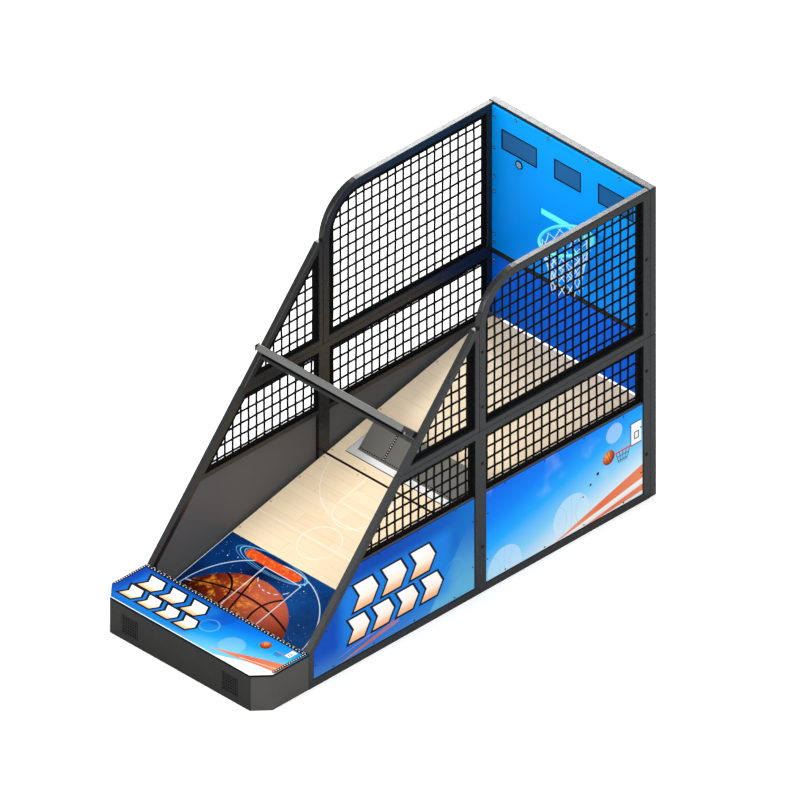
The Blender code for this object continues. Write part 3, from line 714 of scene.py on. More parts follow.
def add_box(shape, low, high, matrix=None):
    """Adds a box between two corners, then turns it by the matrix."""
    low, high = Vector(low), Vector(high)
    place = Matrix.Translation((low + high) / 2) @ Matrix.Diagonal((*(high - low), 1))
    bmesh.ops.create_cube(shape, size=1, matrix=(matrix or Matrix()) @ place)


def add_pin(shape, radius, depth, matrix, sides=12, top=None):
    """Adds a round bar centred on the matrix, along its Z."""
    made = bmesh.ops.create_cone(
        shape, cap_ends=True, segments=sides, radius1=radius,
        radius2=radius if top is None else top, depth=depth, matrix=matrix,
    )
    return made["verts"]


def bevel(shape, width, segments=2):
    """Rounds every edge whose faces turn by more than 25 degrees."""
    chosen = [
        edge for edge in shape.edges
        if edge.is_manifold and edge.calc_face_angle(0) > math.radians(25)
    ]
    bmesh.ops.bevel(
        shape, geom=chosen, offset=width, offset_type="OFFSET", segments=segments,
        profile=0.5, affect="EDGES", material=-1, clamp_overlap=True,
    )


def piece(name, shape, finish, body, replaced=(), smooth=False):
    """Makes a finished mesh into a piece that rides on a body."""
    mesh = bpy.data.meshes.new(name)
    shape.to_mesh(mesh)
    shape.free()
    mesh.materials.append(finish)
    if smooth:
        mesh.shade_smooth()
        mesh.set_sharp_from_angle(angle=math.radians(40))
    made = bpy.data.objects.new(name, mesh)
    bpy.context.scene.collection.objects.link(made)
    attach(made, body)
    if replaced:
        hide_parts(*replaced)


def dress(finish, *nodes):
    """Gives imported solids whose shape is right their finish."""
    for node in nodes:
        mesh = NODES[node].data
        mesh.materials.clear()
        mesh.materials.append(finish)


def merged(node):
    """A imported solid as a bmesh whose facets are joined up."""
    shape = bmesh.new()
    shape.from_mesh(NODES[node].data)
    bmesh.ops.remove_doubles(shape, verts=shape.verts, dist=0.00002)
    return shape


def copied(node):
    """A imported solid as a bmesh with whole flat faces."""
    shape = merged(node)
    bmesh.ops.dissolve_limit(
        shape, angle_limit=math.radians(1.5), verts=shape.verts, edges=shape.edges
    )
    return shape


def softened(node, finish, width=0.0025, segments=2):
    """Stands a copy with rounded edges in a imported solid's place."""
    shape = copied(node)
    bevel(shape, width, segments)
    piece(node + ".rounded", shape, finish, BODY_OF[node], (node,))


def smoothed(node, finish):
    """Stands a copy whose facets are shaded smooth in a round solid's place."""
    piece(node + ".smooth", merged(node), finish, BODY_OF[node], (node,), smooth=True)


def facing(direction, place):
    """A matrix whose Z runs along the direction, at the place."""
    turn = Vector(direction).to_track_quat("Z", "Y").to_matrix().to_4x4()
    return Matrix.Translation(place) @ turn


def tubes(name, runs, radius, finish, body, replaced=(), rings=1):
    """Round cords along runs of points, joined as one piece."""
    curve = bpy.data.curves.new(name, "CURVE")
    curve.dimensions = "3D"
    curve.bevel_depth = radius
    curve.bevel_resolution = rings
    curve.use_fill_caps = True
    for run in runs:
        spline = curve.splines.new("POLY")
        spline.points.add(len(run) - 1)
        for point, place in zip(spline.points, run):
            point.co = (*place, 1)
    guide = bpy.data.objects.new(name + ".guide", curve)
    bpy.context.scene.collection.objects.link(guide)
    graph = bpy.context.evaluated_depsgraph_get()
    mesh = bpy.data.meshes.new_from_object(guide.evaluated_get(graph))
    bpy.data.objects.remove(guide)
    shape = bmesh.new()
    shape.from_mesh(mesh)
    bmesh.ops.remove_doubles(shape, verts=shape.verts, dist=0.00001)
    bmesh.ops.recalc_face_normals(shape, faces=shape.faces)
    piece(name, shape, finish, body, replaced, smooth=True)


def ring_around(shape, radius, wire, matrix, around=64, across=12):
    """Adds a round-wire ring lying flat in the matrix."""
    section = Matrix.Translation((radius, 0, 0)) @ Matrix.Rotation(math.pi / 2, 4, "X")
    made = bmesh.ops.create_circle(shape, segments=across, radius=wire, matrix=matrix @ section)
    edges = {edge for vert in made["verts"] for edge in vert.link_edges}
    bmesh.ops.spin(
        shape, geom=list(edges), cent=matrix.translation, axis=matrix.to_3x3().col[2],
        angle=2 * math.pi, steps=around, use_merge=True, use_duplicate=False,
    )
    bmesh.ops.recalc_face_normals(shape, faces=shape.faces)


def corners_of(node, axis):
    """The corners of a solid's largest face towards the axis, in order."""
    shape = copied(node)
    face = max(shape.faces, key=lambda found: found.normal.dot(axis) * found.calc_area())
    corners = [vert.co.copy() for vert in face.verts]
    shape.free()
    return corners


def sides_of(corners):
    """An outline's sides, flat across X: two ends each, and the way out of the outline."""
    centre = sum(corners, Vector()) / len(corners)
    sides = []
    for start, end in zip(corners, corners[1:] + corners[:1]):
        away = (end - start).cross(ACROSS).normalized()
        if away.dot(start - centre) < 0:
            away.negate()
        sides.append((start, end, away))
    return sides


def band(corners, width, depth):
    """A closed flat band just inside a ring of corners, as thick as the depth vector."""
    shape = bmesh.new()
    face = shape.faces.new([shape.verts.new(corner) for corner in corners])
    face.normal_update()
    bmesh.ops.inset_individual(shape, faces=[face], thickness=width, use_even_offset=True)
    bmesh.ops.delete(shape, geom=[face], context="FACES_ONLY")
    raised = bmesh.ops.extrude_face_region(shape, geom=shape.faces[:])
    verts = [item for item in raised["geom"] if isinstance(item, bmesh.types.BMVert)]
    bmesh.ops.translate(shape, verts=verts, vec=depth)
    bmesh.ops.recalc_face_normals(shape, faces=shape.faces)
    return shape


def add_screw(shape, place, direction, radius):
    """Adds a pan-head screw with a round recess, its head standing along the direction."""
    height = 0.0016
    lifted = facing(direction, place) @ Matrix.Translation((0, 0, height / 2))
    verts = add_pin(shape, radius, height, lifted, top=radius * 0.72)
    tops = {
        face for vert in verts for face in vert.link_faces
        if face.normal.dot(Vector(direction)) > 0.99 and len(face.verts) == 12
    }
    for _ in (0, 1):
        bmesh.ops.inset_individual(
            shape, faces=list(tops), thickness=radius * 0.17, depth=-height * 0.25
        )


def screws(name, places, direction, radius, finish):
    """The screws of one panel, all of one size, as a piece of the cabinet."""
    shape = bmesh.new()
    for place in places:
        add_screw(shape, place, direction, radius)
    piece(name, shape, finish, "cabinet")


def knuckles(start, pitch, count, radius, gap, y, z, soft):
    """A piano hinge's knuckles along X, shared out in turn between its two leaves."""
    leaves = bmesh.new(), bmesh.new()
    for place in range(count):
        middle = (start + pitch * (place + 0.5), y, z)
        add_pin(leaves[place % 2], radius, pitch - gap, facing(ACROSS, middle))
    for leaf in leaves:
        bevel(leaf, soft, 1)
    return leaves


def spaced(low, high, count):
    """Evenly spaced values from low to high, both included."""
    return [low + (high - low) * place / (count - 1) for place in range(count)]


# ---------------------------------------------------------------- steel frames

STEEL = [node for node in NODES if "_frame" in node and node != "gate_frame"]
STEEL += ["cross_member_front", "cross_member_middle", "cross_member_rear", "cross_tie"]
for node in STEEL:
    softened(node, FRAME_COAT, 0.004, 3)
for side, _ in SIDES:
    softened(f"ramp_ledger_{side}", DARK_COAT, 0.0015)


def frame_joints():
    """Rubber strips in the joints between the bolted frames, sunk below the tubes' faces."""
    sunk, half = 0.0014, 0.0036
    low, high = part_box("front_upper_frame_right")
    strips = bmesh.new()
    for _, sign in SIDES:
        near, far = sorted((sign * (INNER + sunk), sign * (OUTER - sunk)))
        for y, top in ((SPLIT_Y, high.z - 0.006), (BACK_START_Y, TOP_Z - 0.004)):
            add_box(strips, (near, y - half, 0.004), (far, y + half, top))
        add_box(
            strips, (near, low.y + 0.030, SPLIT_Z - half), (far, BACK_Y - 0.003, SPLIT_Z + half)
        )
    add_box(
        strips, (-OUTER + 0.004, BACK_START_Y + sunk, SPLIT_Z - half),
        (OUTER - 0.004, BACK_Y - sunk, SPLIT_Z + half),
    )
    bevel(strips, 0.0006, 1)
    piece("frame_joint_strips", strips, RUBBER, "cabinet")


def frame_bolts():
    """The bolts that hold the frames together, each with its washer."""
    bolts, washers = bmesh.new(), bmesh.new()
    for _, sign in SIDES:
        out = ACROSS * sign
        for y in (SPLIT_Y + 0.020, BACK_START_Y - 0.020):
            for z in (0.24, 0.68, 0.98, 1.27):
                face = Vector((sign * OUTER, y, z))
                add_pin(washers, 0.0085, 0.0012, facing(out, face), sides=16)
                add_pin(bolts, 0.0060, 0.0042, facing(out, face + out * 0.002), sides=6)
    bevel(bolts, 0.0006, 1)
    piece("frame_bolt_heads", bolts, DARK_COAT, "cabinet")
    piece("frame_bolt_washers", washers, RUBBER, "cabinet")


frame_joints()
frame_bolts()


# ---------------------------------------------------------------- side nets

CELL_Y, CELL_Z = 0.0486, 0.0600
CORD = 0.0048                       # the cord's radius
HEM, HEM_DEPTH = 0.022, 0.007       # the webbing's width and thickness
LACE_PITCH, LACE_STEPS = 0.028, 6


def wander(place, amount):
    """A small steady shift that depends only on where a knot is."""
    turn = math.sin(place.y * 917.0 + place.z * 431.0 + place.x * 57.0) * 43.7
    return Vector((0, math.cos(turn) * amount, math.sin(turn * 1.7) * amount))


def inside(run, sides):
    """The part of a run of points that lies within a convex outline's sides."""
    kept = []
    for start, end in zip(run, run[1:]):
        low, high = 0.0, 1.0
        for root, _, away in sides:
            first, last = (root - start).dot(away), (root - end).dot(away)
            if first < 0 and last < 0:
                low, high = 1.0, 0.0
                break
            if first < 0:
                low = max(low, first / (first - last))
            elif last < 0:
                high = min(high, first / (first - last))
        if low < high:
            kept += [start.lerp(end, low)] if not kept else []
            kept.append(start.lerp(end, high))
    return kept


def knot_grid(low, high):
    """The net's knots by column and row, one cell larger all round than its box."""
    middle = (low + high) / 2
    columns = math.ceil((high.y - low.y) / CELL_Y)
    rows = math.ceil((high.z - low.z) / CELL_Z)
    grid = {}
    for column in range(-1, columns + 2):
        for row in range(-1, rows + 2):
            place = Vector((
                middle.x, middle.y + (column - columns / 2) * CELL_Y,
                middle.z + (row - rows / 2) * CELL_Z,
            ))
            grid[column, row] = place + wander(place, 0.0013)
    return grid


def lacing(sides):
    """Runs of thin cord that wind round the hem and the tube along each side."""
    laces = []
    for start, end, away in sides:
        steps = (end - start).length / LACE_PITCH * LACE_STEPS
        if steps < LACE_STEPS:
            continue
        lace = []
        for place in range(round(steps) + 1):
            angle = 2 * math.pi * place / LACE_STEPS
            root = start.lerp(end, min(1.0, place / steps))
            inwards = away * (0.009 + 0.0120 * math.cos(angle))
            lace.append(root - inwards + ACROSS * 0.0072 * math.sin(angle))
        laces.append(lace)
    return laces


def side_net(node):
    """Knotted cord, a webbing hem round it, and the lacing that ties it to the tubes."""
    body, slot = BODY_OF[node], "black_net"
    low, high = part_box(node)
    corners = corners_of(node, ACROSS)
    for corner in corners:
        corner.x = (low.x + high.x) / 2
    sides = sides_of(corners)
    grid = knot_grid(low, high)

    # The upright cords pass over the level ones, and all of them end at the outline
    over = ACROSS * CORD * 0.35
    upright, level = sorted({column for column, _ in grid}), sorted({row for _, row in grid})
    runs = [[grid[column, row] + over for row in level] for column in upright]
    runs += [[grid[column, row] - over for column in upright] for row in level]
    runs = [kept for kept in (inside(run, sides) for run in runs) if len(kept) > 1]
    tubes(node + ".cords", runs, CORD, BLACK_CORD, body, (node,))

    knots = bmesh.new()
    for place in grid.values():
        if all((start - place).dot(away) > HEM * 0.8 for start, _, away in sides):
            bmesh.ops.create_icosphere(
                knots, subdivisions=1, radius=CORD * 1.5,
                matrix=Matrix.Translation(place) @ Matrix.Diagonal((0.9, 1.0, 1.15, 1)),
            )
    piece(node + ".knots", knots, BLACK_CORD, body, smooth=True)

    hem = band([corner - ACROSS * HEM_DEPTH / 2 for corner in corners], HEM, ACROSS * HEM_DEPTH)
    bevel(hem, 0.0012)
    piece(node + ".hem", hem, WEBBING, body)
    tubes(node + ".lacing", lacing(sides), 0.0022, BLACK_CORD, body, rings=0)


for side, _ in SIDES:
    for part in ("front_lower", "front_upper", "rear_lower", "rear_upper"):
        side_net(f"{part}_net_{side}")


# ---------------------------------------------------------------- side panels

def side_panel(node, sign, art):
    """A printed panel with rubber edging and a row of screws inside it."""
    out = ACROSS * sign
    softened(node, art, 0.0015)
    corners = corners_of(node, out)
    edging = band(corners, 0.0035, out * 0.0008)
    piece(node + ".edging", edging, RUBBER, "cabinet")
    pitch, inset = 0.24, 0.013
    places = []
    for start, end, away in sides_of(corners):
        count = max(1, round((end - start).length / pitch))
        for place in range(count):
            places.append(start.lerp(end, (place + 0.5) / count) - away * inset)
    screws(node + ".screws", places, out, 0.0042, DARK_COAT)


FRONT_ART = side_print("front_side_print", front_drawing)
REAR_ART = side_print("rear_side_print", rear_drawing)
for side, sign in SIDES:
    side_panel(f"front_side_panel_{side}", sign, FRONT_ART)
    side_panel(f"rear_side_panel_{side}", sign, REAR_ART)


# ---------------------------------------------------------------- console and lid

def speaker(side):
    """A grille with a screw in each corner, and the loudspeaker behind it."""
    node, inset = f"speaker_grille_{side}", 0.005
    dress(GRILLE_COAT, node)
    dress(SPEAKER_CONE, f"speaker_{side}")
    low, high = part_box(node)
    places = [
        (x, low.y, z)
        for x in (low.x + inset, high.x - inset) for z in (low.z + inset, high.z - inset)
    ]
    screws(node + ".screws", places, TO_PLAYER, 0.0028, DARK_COAT)


def lid_hinge():
    """The piano hinge along the lid's back edge."""
    low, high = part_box("console_hinge")
    margin, pitch = 0.005, 0.0160
    fixed, moving = knuckles(
        margin - OUTER, pitch, int(2 * (OUTER - margin) / pitch), radius=0.0029, gap=0.001,
        y=(low.y + high.y) / 2, z=high.z - 0.003, soft=0.0005,
    )
    piece(
        "lid_hinge_fixed_knuckles", fixed, ZINC, "cabinet", ("console_hinge",),
        smooth=True,
    )
    piece(
        "lid_hinge_moving_knuckles", moving, DARK_COAT, "console_lid_body",
        smooth=True,
    )


def lid_edging():
    """Black edging along the lid's two sides and its back, with rows of pale studs."""
    edging, studs = bmesh.new(), bmesh.new()
    top, stud_z, back = LID_TOP + 0.0014, LID_TOP + 0.0016, lid_high.y - 0.002
    for _, sign in SIDES:
        x = sign * (OUTER - 0.0095)
        add_box(edging, (x - 0.0080, lid_low.y + 0.085, LID_TOP), (x + 0.0080, back, top))
        for y in spaced(lid_low.y + 0.092, lid_high.y - 0.008, 15):
            add_pin(studs, 0.0036, 0.0024, Matrix.Translation((x, y, stud_z)), 10, top=0.0024)
    half = OUTER - 0.0185
    add_box(edging, (-half, lid_high.y - 0.018, LID_TOP), (half, back, top))
    for x in spaced(-OUTER + 0.024, OUTER - 0.024, 50):
        spot = Matrix.Translation((x, lid_high.y - 0.0098, stud_z))
        add_pin(studs, 0.0034, 0.0024, spot, 10, top=0.0024)
    bevel(edging, 0.0005, 1)
    piece("lid_edging", edging, RUBBER, "console_lid_body")
    piece("lid_studs", studs, PALE_TRIM, "console_lid_body", smooth=True)


def lid_nosing():
    """A pale nosing along the lid's front edge and its two cut corners."""
    nosing = bmesh.new()
    rim = [corner for corner in corners_of("console_lid", UP) if corner.y < lid_low.y + 0.08]
    rim.sort(key=lambda corner: corner.x)
    for start, end in zip(rim, rim[1:]):
        along = (end - start).normalized()
        turn = Matrix((along, UP.cross(along), UP)).transposed().to_4x4()
        matrix = Matrix.Translation(start) @ turn
        add_box(nosing, (0, 0.0005, -0.0010), ((end - start).length, 0.0036, 0.0014), matrix)
    bevel(nosing, 0.0006, 1)
    piece("lid_front_edging", nosing, PALE_TRIM, "console_lid_body")


softened("console_shell", CONSOLE_COAT, 0.0025, 3)
softened("console_lid", lid_print(), 0.0020, 3)
softened("control_box", DARK_COAT, 0.003)
for side, _ in SIDES:
    speaker(side)
lid_hinge()
lid_edging()
lid_nosing()


# ---------------------------------------------------------------- ramp

def ramp_screws():
    """Screws down both sides, and two rows of smaller ones across the upper boards' joint."""
    fasteners = bmesh.new()
    for x in (0.0115 - RAMP_HALF, RAMP_HALF - 0.0115):
        for along in (0.03, 0.235, 0.44, 0.53, 0.72, 0.90, 1.05, 1.10, 1.40, 1.75, 2.05):
            add_screw(fasteners, on_ramp(x, SIDE_Y + along), RAMP_UP, 0.0052)
    for x in (-0.25, 0.0, 0.25):
        for along in (1.052, 1.092):
            add_screw(fasteners, on_ramp(x, SIDE_Y + along), RAMP_UP, 0.0040)
    piece("ramp_screws", fasteners, DARK_COAT, "cabinet")


def ramp_seam():
    """The filler in the joint between the middle and the rear board."""
    y = (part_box("ramp_middle_board")[1].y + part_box("ramp_rear_board")[0].y) / 2
    half = RAMP_HALF - 0.001
    matrix = Matrix.Translation(on_ramp(0, y)) @ Matrix.Rotation(RAMP_ANGLE, 4, "X")
    filler = bmesh.new()
    add_box(filler, (-half, -0.0052, -0.017), (half, 0.0052, -0.0005), matrix)
    bevel(filler, 0.0008, 1)
    piece("ramp_seam_filler", filler, RUBBER, "cabinet")


softened("ramp_front_board", ramp_print(), 0.0010)
MAPLE = maple_court()
softened("ramp_middle_board", MAPLE, 0.0010)
softened("ramp_rear_board", MAPLE, 0.0010)
ramp_screws()
ramp_seam()


# ---------------------------------------------------------------- ball gate

GATE_HINGE = next(joint for joint in frame["joints"] if joint["name"] == "gate_hinge")
GATE_AXIS = Vector(GATE_HINGE["pos_m"])
GATE_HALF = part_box("ball_gate")[1].x
STRIP_X, STRIP_LENGTH = -0.213, 0.135


def gate_knuckles():
    """The piano hinge along the flap's downhill edge."""
    half, count = GATE_HALF - 0.006, 36
    fixed, moving = knuckles(
        -half, 2 * half / count, count, radius=0.0042, gap=0.0012,
        y=GATE_AXIS.y, z=GATE_AXIS.z, soft=0.0006,
    )
    piece("gate_hinge_fixed_knuckles", fixed, PALE_TRIM, "cabinet", smooth=True)
    piece(
        "gate_hinge_moving_knuckles", moving, DARK_COAT, "ball_gate_body",
        smooth=True,
    )


def flap_matrix():
    """A place on the flap: X across from the strip, Y up from just past the hinge, Z off it."""
    flap = copied("ball_gate")
    top = max(flap.faces, key=lambda found: found.normal.z * found.calc_area())
    normal, surface = top.normal.copy(), top.calc_center_median()
    flap.free()
    run = Vector((0, normal.z, -normal.y)).normalized()
    start = surface - run * ((surface - GATE_AXIS).dot(run) - 0.008)
    start.x = STRIP_X
    return Matrix.Translation(start) @ Matrix((ACROSS, run, normal)).transposed().to_4x4()


def leaf_studs(on_flap):
    """The row of rivets that holds the hinge's leaf to the flap."""
    studs = bmesh.new()
    pitch, half = 0.014, GATE_HALF - 0.008
    for place in range(int(2 * half / pitch)):
        x = pitch * (place + 0.5) - half
        spot = on_flap @ Matrix.Translation((x - STRIP_X, 0.002, 0.0006))
        add_pin(studs, 0.0040, 0.0024, spot, 8, top=0.0030)
    piece("gate_leaf_studs", studs, RUBBER, "ball_gate_body", smooth=True)


def gate_gasket():
    """A rubber border on the ramp round the gate's frame."""
    low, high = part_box("gate_frame")
    reach = 0.003
    half, near, far = high.x + reach, low.y - reach, high.y + reach
    corners = [on_ramp(x, y) for x, y in ((-half, near), (half, near), (half, far), (-half, far))]
    gasket = band(corners, 0.0055, RAMP_UP * 0.0016)
    piece("gate_gasket", gasket, RUBBER, "cabinet")


def gate_strip(on_flap):
    """The studded strip that runs up the flap."""
    strip, studs = bmesh.new(), bmesh.new()
    add_box(strip, (-0.006, 0, -0.0004), (0.006, STRIP_LENGTH, 0.0012), on_flap)
    bevel(strip, 0.0004, 1)
    for along in spaced(0.007, STRIP_LENGTH - 0.007, 11):
        spot = on_flap @ Matrix.Translation((0, along, 0.0018))
        add_pin(studs, 0.0030, 0.0022, spot, 10, top=0.0018)
    piece("gate_strip", strip, DARK_COAT, "ball_gate_body")
    piece("gate_strip_studs", studs, PALE_TRIM, "ball_gate_body", smooth=True)


softened("ball_gate", FLAP, 0.0015)
softened("gate_frame", WHITE_COAT, 0.0015)
ON_FLAP = flap_matrix()
gate_knuckles()
leaf_studs(ON_FLAP)
gate_gasket()
gate_strip(ON_FLAP)


# ---------------------------------------------------------------- hand bar

bar_low, bar_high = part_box("hand_bar")


def bar_pad_in_shaded_gap():
    """The rubber pad between the bar and the tie below it; its black also stands in for the shade in that gap."""
    low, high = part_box("cross_tie")
    pad = bmesh.new()
    # Painted shade in part: this black pad fills the gap where only shade would show
    add_box(
        pad, (low.x + 0.002, low.y + 0.002, high.z),
        (bar_high.x - 0.002, high.y - 0.002, bar_low.z),
    )
    bevel(pad, 0.0008, 1)
    piece("hand_bar_pad", pad, RUBBER, "cabinet")


def bar_plug():
    """The plug in the bar's open end."""
    inset = 0.0035
    plug = bmesh.new()
    add_box(
        plug, (bar_low.x - 0.0030, bar_low.y + inset, bar_low.z + inset),
        (bar_low.x + 0.0010, bar_high.y - inset, bar_high.z - inset),
    )
    bevel(plug, 0.0014, 3)
    piece("hand_bar_end_plug", plug, RUBBER, "cabinet")


softened("hand_bar", steel_coat("bar_coat", srgb(104, 104, 103), 0.34), 0.005, 4)
softened("hand_bar_socket", FRAME_COAT, 0.004, 3)
bar_pad_in_shaded_gap()
bar_plug()
socket_screw = (bar_high.x + 0.022, bar_low.y, (bar_low.z + bar_high.z) / 2)
screws("hand_bar_screws", [socket_screw], TO_PLAYER, 0.005, ZINC)


# ---------------------------------------------------------------- backboard


def board_screws():
    """Screws down both edges, and along the top and the foot of the upper board."""
    edge, top, foot = INNER - 0.0145, TOP_Z - 0.023, 0.878
    column = (0.60, 0.79, 0.81, 0.90, 0.945, 1.17, 1.25, 1.40, 1.56)
    spots = [(x, z) for x in (-edge, edge) for z in column]
    spots += [(x, top) for x in (-0.32, -0.12, 0.12, 0.32)]
    spots += [(x, foot) for x in (-0.25, 0.0, 0.25)]
    places = [(x, BOARD_FACE_Y, z) for x, z in spots]
    screws("backboard_screws", places, TO_PLAYER, 0.0048, ZINC)
    washers = bmesh.new()
    for place in places:
        ring_around(washers, 0.0062, 0.0016, facing(TO_PLAYER, place), around=20, across=6)
    piece("backboard_washers", washers, RUBBER, "cabinet", smooth=True)


def board_seam():
    """The strip over the joint between the two boards."""
    half = INNER - 0.001
    low_z, high_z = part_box("backboard_lower")[1].z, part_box("backboard_upper")[0].z
    strip = bmesh.new()
    add_box(
        strip, (-half, BOARD_FACE_Y - 0.0025, low_z - 0.004),
        (half, BOARD_FACE_Y + 0.009, high_z + 0.001),
    )
    bevel(strip, 0.0015)
    piece("backboard_seam_strip", strip, DARK_COAT, "cabinet")


def display(node):
    """A display box with a rubber bezel round its window."""
    softened(node, GLASS, 0.0008)
    low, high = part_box(node)
    left, right, foot, top = low.x - 0.003, high.x + 0.003, low.z - 0.003, high.z + 0.003
    corners = [
        Vector((x, BOARD_FACE_Y + 0.001, z))
        for x, z in ((left, foot), (right, foot), (right, top), (left, top))
    ]
    bezel = band(corners, 0.0055, TO_PLAYER * 0.0030)
    bevel(bezel, 0.0010)
    piece(node + ".bezel", bezel, RUBBER, "cabinet")


def lamp(node):
    """The round lamp below the displays, in its bezel."""
    smoothed(node, moulded("lamp_lens", srgb(104, 150, 184), 0.25))
    low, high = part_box(node)
    middle = Vector(((low.x + high.x) / 2, BOARD_FACE_Y - 0.002, (low.z + high.z) / 2))
    bezel = bmesh.new()
    ring_around(
        bezel, (high.x - low.x) / 2 - 0.002, 0.0034, facing(TO_PLAYER, middle),
        around=32, across=8,
    )
    piece(node + ".bezel", bezel, RUBBER, "cabinet", smooth=True)


BOARD_PRINT = backboard_print()
softened("backboard_upper", BOARD_PRINT, 0.0012)
softened("backboard_lower", BOARD_PRINT, 0.0012)
board_screws()
board_seam()
for place in ("left", "centre", "right"):
    display(f"display_{place}")
lamp("indicator_lamp")
dress(shield_enamel_painted_glow(), "slot_shield")
for node in ("guide_rail_lower", "guide_rail_upper", "hoop_carriage", "carriage_keeper"):
    softened(node, ZINC, 0.001)


# ---------------------------------------------------------------- hoop and its net

ring_low, ring_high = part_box("hoop_ring")
HOOP = (ring_low + ring_high) / 2
WIRE = (ring_high.z - ring_low.z) / 2
HOOP_RADIUS = (ring_high.x - ring_low.x) / 2 - WIRE
STRANDS = 12
NET_TOP, NET_FOOT = HOOP.z - WIRE - 0.006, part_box("hoop_net")[0].z
# A row of knots is its part of the way down and its part of the hoop's radius
ROWS = (
    (0.00, 0.925), (0.14, 0.890), (0.28, 0.815), (0.42, 0.735), (0.56, 0.670), (0.70, 0.622),
    (0.85, 0.595), (1.00, 0.600),
)


def net_knot(row, step):
    """A knot of the hoop's net: its row, and its place round the ring in half steps."""
    down, part = ROWS[row]
    angle = math.pi * step / STRANDS
    reach = HOOP_RADIUS * part
    return Vector((
        HOOP.x + reach * math.cos(angle), HOOP.y + reach * math.sin(angle),
        NET_TOP + (NET_FOOT - NET_TOP) * down,
    ))


def net_cord(strand, lean):
    """A cord that slants down the net from knot to knot, drawn in a little between them."""
    run = []
    for row in range(len(ROWS) - 1):
        start = net_knot(row, 2 * strand + lean * row)
        end = net_knot(row + 1, 2 * strand + lean * (row + 1))
        inwards = (Vector((HOOP.x, HOOP.y, start.z)) - start).normalized()
        for part in (0, 0.25, 0.5, 0.75):
            run.append(start.lerp(end, part) + inwards * 0.0015 * math.sin(math.pi * part))
    return run + [end]


def net_hook(strand):
    """A wire hook under the ring, from which one knot of the net hangs."""
    angle = 2 * math.pi * strand / STRANDS
    out = Vector((math.cos(angle), math.sin(angle), 0))
    side = Vector((-out.y, out.x, 0))
    middle, under = HOOP + out * HOOP_RADIUS, HOOP + out * HOOP_RADIUS * 0.95
    bends = (
        (middle, 0.006, WIRE * 0.8), (under, 0.0055, WIRE + 0.005), (under, 0, WIRE + 0.0085),
        (under, -0.0055, WIRE + 0.005), (middle, -0.006, WIRE * 0.8),
    )
    return [root + side * across - UP * drop for root, across, drop in bends]


def hoop():
    """The ring of round bar, its bracket, the net of crossing cords and its hooks."""
    body = "hoop_carriage_body"
    wire = bmesh.new()
    ring_around(wire, HOOP_RADIUS, WIRE, Matrix.Translation(HOOP))
    piece("hoop_ring.wire", wire, ENAMEL, body, ("hoop_ring",), smooth=True)
    softened("hoop_bracket", ENAMEL, 0.0012)
    knots = bmesh.new()
    for row in range(len(ROWS)):
        for strand in range(STRANDS):
            place = Matrix.Translation(net_knot(row, 2 * strand + row % 2))
            bmesh.ops.create_icosphere(
                knots, subdivisions=2, radius=0.0036,
                matrix=place @ Matrix.Diagonal((1, 1, 1.35, 1)),
            )
    cords = [net_cord(strand, lean) for strand in range(STRANDS) for lean in (1, -1)]
    tubes("hoop_net.cords", cords, 0.0021, WHITE_CORD, body, ("hoop_net",))
    piece("hoop_net.knots", knots, WHITE_CORD, body, smooth=True)
    hooks = [net_hook(strand) for strand in range(STRANDS)]
    tubes("hoop_ring.hooks", hooks, 0.0018, ENAMEL, body)


hoop()


# ---------------------------------------------------------------- floor, lights and camera

scene = bpy.context.scene
scene.view_settings.view_transform = "Standard"
AIM = Vector((0, 0.138, 0.782))     # the middle of the view


def seen_white(tree, shown, unseen):
    """Mixes two shaders: one where the camera looks, one for the light on the machine."""
    path = tree.nodes.new("ShaderNodeLightPath")
    mixed = tree.nodes.new("ShaderNodeMixShader")
    tree.links.new(path.outputs["Is Camera Ray"], mixed.inputs[0])
    tree.links.new(unseen, mixed.inputs[1])
    tree.links.new(shown, mixed.inputs[2])
    return mixed.outputs[0]


def glow(tree, kind, level):
    """A plain white light source of that level."""
    node = tree.nodes.new(kind)
    node.inputs["Color"].default_value = (1, 1, 1, 1)
    node.inputs["Strength"].default_value = level
    return node.outputs[0]


def studio_world():
    """A world that looks white and lights the machine at a lower level."""
    world = bpy.data.worlds.new("studio")
    world.use_nodes = True
    tree = world.node_tree
    tree.nodes.clear()
    sky = tree.nodes.new("ShaderNodeOutputWorld")
    shown, unseen = (glow(tree, "ShaderNodeBackground", level) for level in (1.0, 0.55))
    tree.links.new(seen_white(tree, shown, unseen), sky.inputs["Surface"])
    scene.world = world


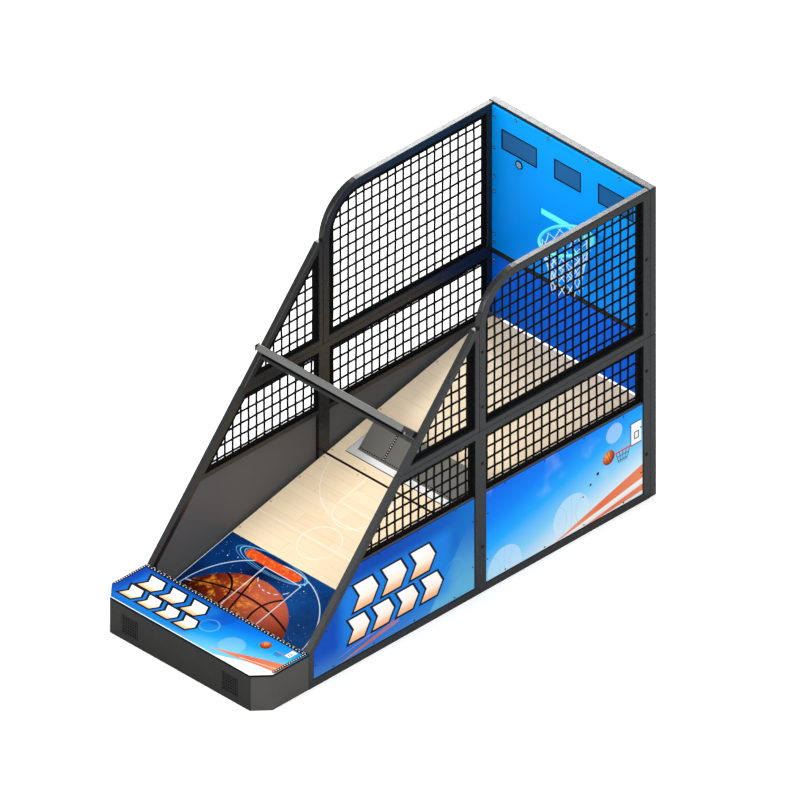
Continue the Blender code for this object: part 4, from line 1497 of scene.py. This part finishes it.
def studio_floor():
    """Pale paper, lifted to white where the camera sees it, that keeps the machine's shadow."""
    paper = bpy.data.materials.new("floor_paper")
    paper.use_nodes = True
    tree = paper.node_tree
    plain = tree.nodes["Principled BSDF"]
    plain.inputs["Base Color"].default_value = (0.80, 0.80, 0.80, 1)
    plain.inputs["Roughness"].default_value = 0.9
    lifted = tree.nodes.new("ShaderNodeAddShader")
    tree.links.new(plain.outputs[0], lifted.inputs[0])
    tree.links.new(glow(tree, "ShaderNodeEmission", 0.40), lifted.inputs[1])
    tree.links.new(
        seen_white(tree, lifted.outputs[0], plain.outputs[0]),
        tree.nodes["Material Output"].inputs["Surface"],
    )
    shape = bmesh.new()
    bmesh.ops.create_grid(shape, x_segments=4, y_segments=4, size=30)
    mesh = bpy.data.meshes.new("floor")
    shape.to_mesh(mesh)
    shape.free()
    mesh.materials.append(paper)
    floor = bpy.data.objects.new("floor", mesh)
    floor.location.z = -0.0005
    scene.collection.objects.link(floor)


def stand(name, data, place, front):
    """Stands a light or a camera at a place, with its -Z towards the machine's middle."""
    made = bpy.data.objects.new(name, data)
    made.location = place
    made.rotation_mode = "QUATERNION"
    made.rotation_quaternion = front.to_track_quat("-Z", "Y")
    scene.collection.objects.link(made)
    return made


def area_light(name, place, size, power):
    lamp = bpy.data.lights.new(name, "AREA")
    lamp.shape = "SQUARE"
    lamp.size = size
    lamp.energy = power
    stand(name, lamp, place, AIM - Vector(place))


def parallel_camera(azimuth, elevation, width):
    """A camera without perspective, turned round from the front and up from the level."""
    camera = bpy.data.cameras.new("camera")
    camera.type = "ORTHO"
    camera.ortho_scale = width
    camera.clip_end = 100
    back = Vector((
        math.sin(azimuth) * math.cos(elevation), -math.cos(azimuth) * math.cos(elevation),
        math.sin(elevation),
    ))
    scene.camera = stand("camera", camera, AIM + back * 9, -back)


studio_world()
studio_floor()
area_light("key_light", (4.8, -1.6, 4.0), 3.0, 150)
area_light("front_light", (-1.2, -5.6, 3.2), 3.0, 230)
area_light("back_light", (-3.6, 3.8, 4.25), 2.0, 230)
area_light("top_light", (0.2, 1.0, 5.4), 2.6, 80)
parallel_camera(math.radians(45.0), math.radians(34.3), 3.50)
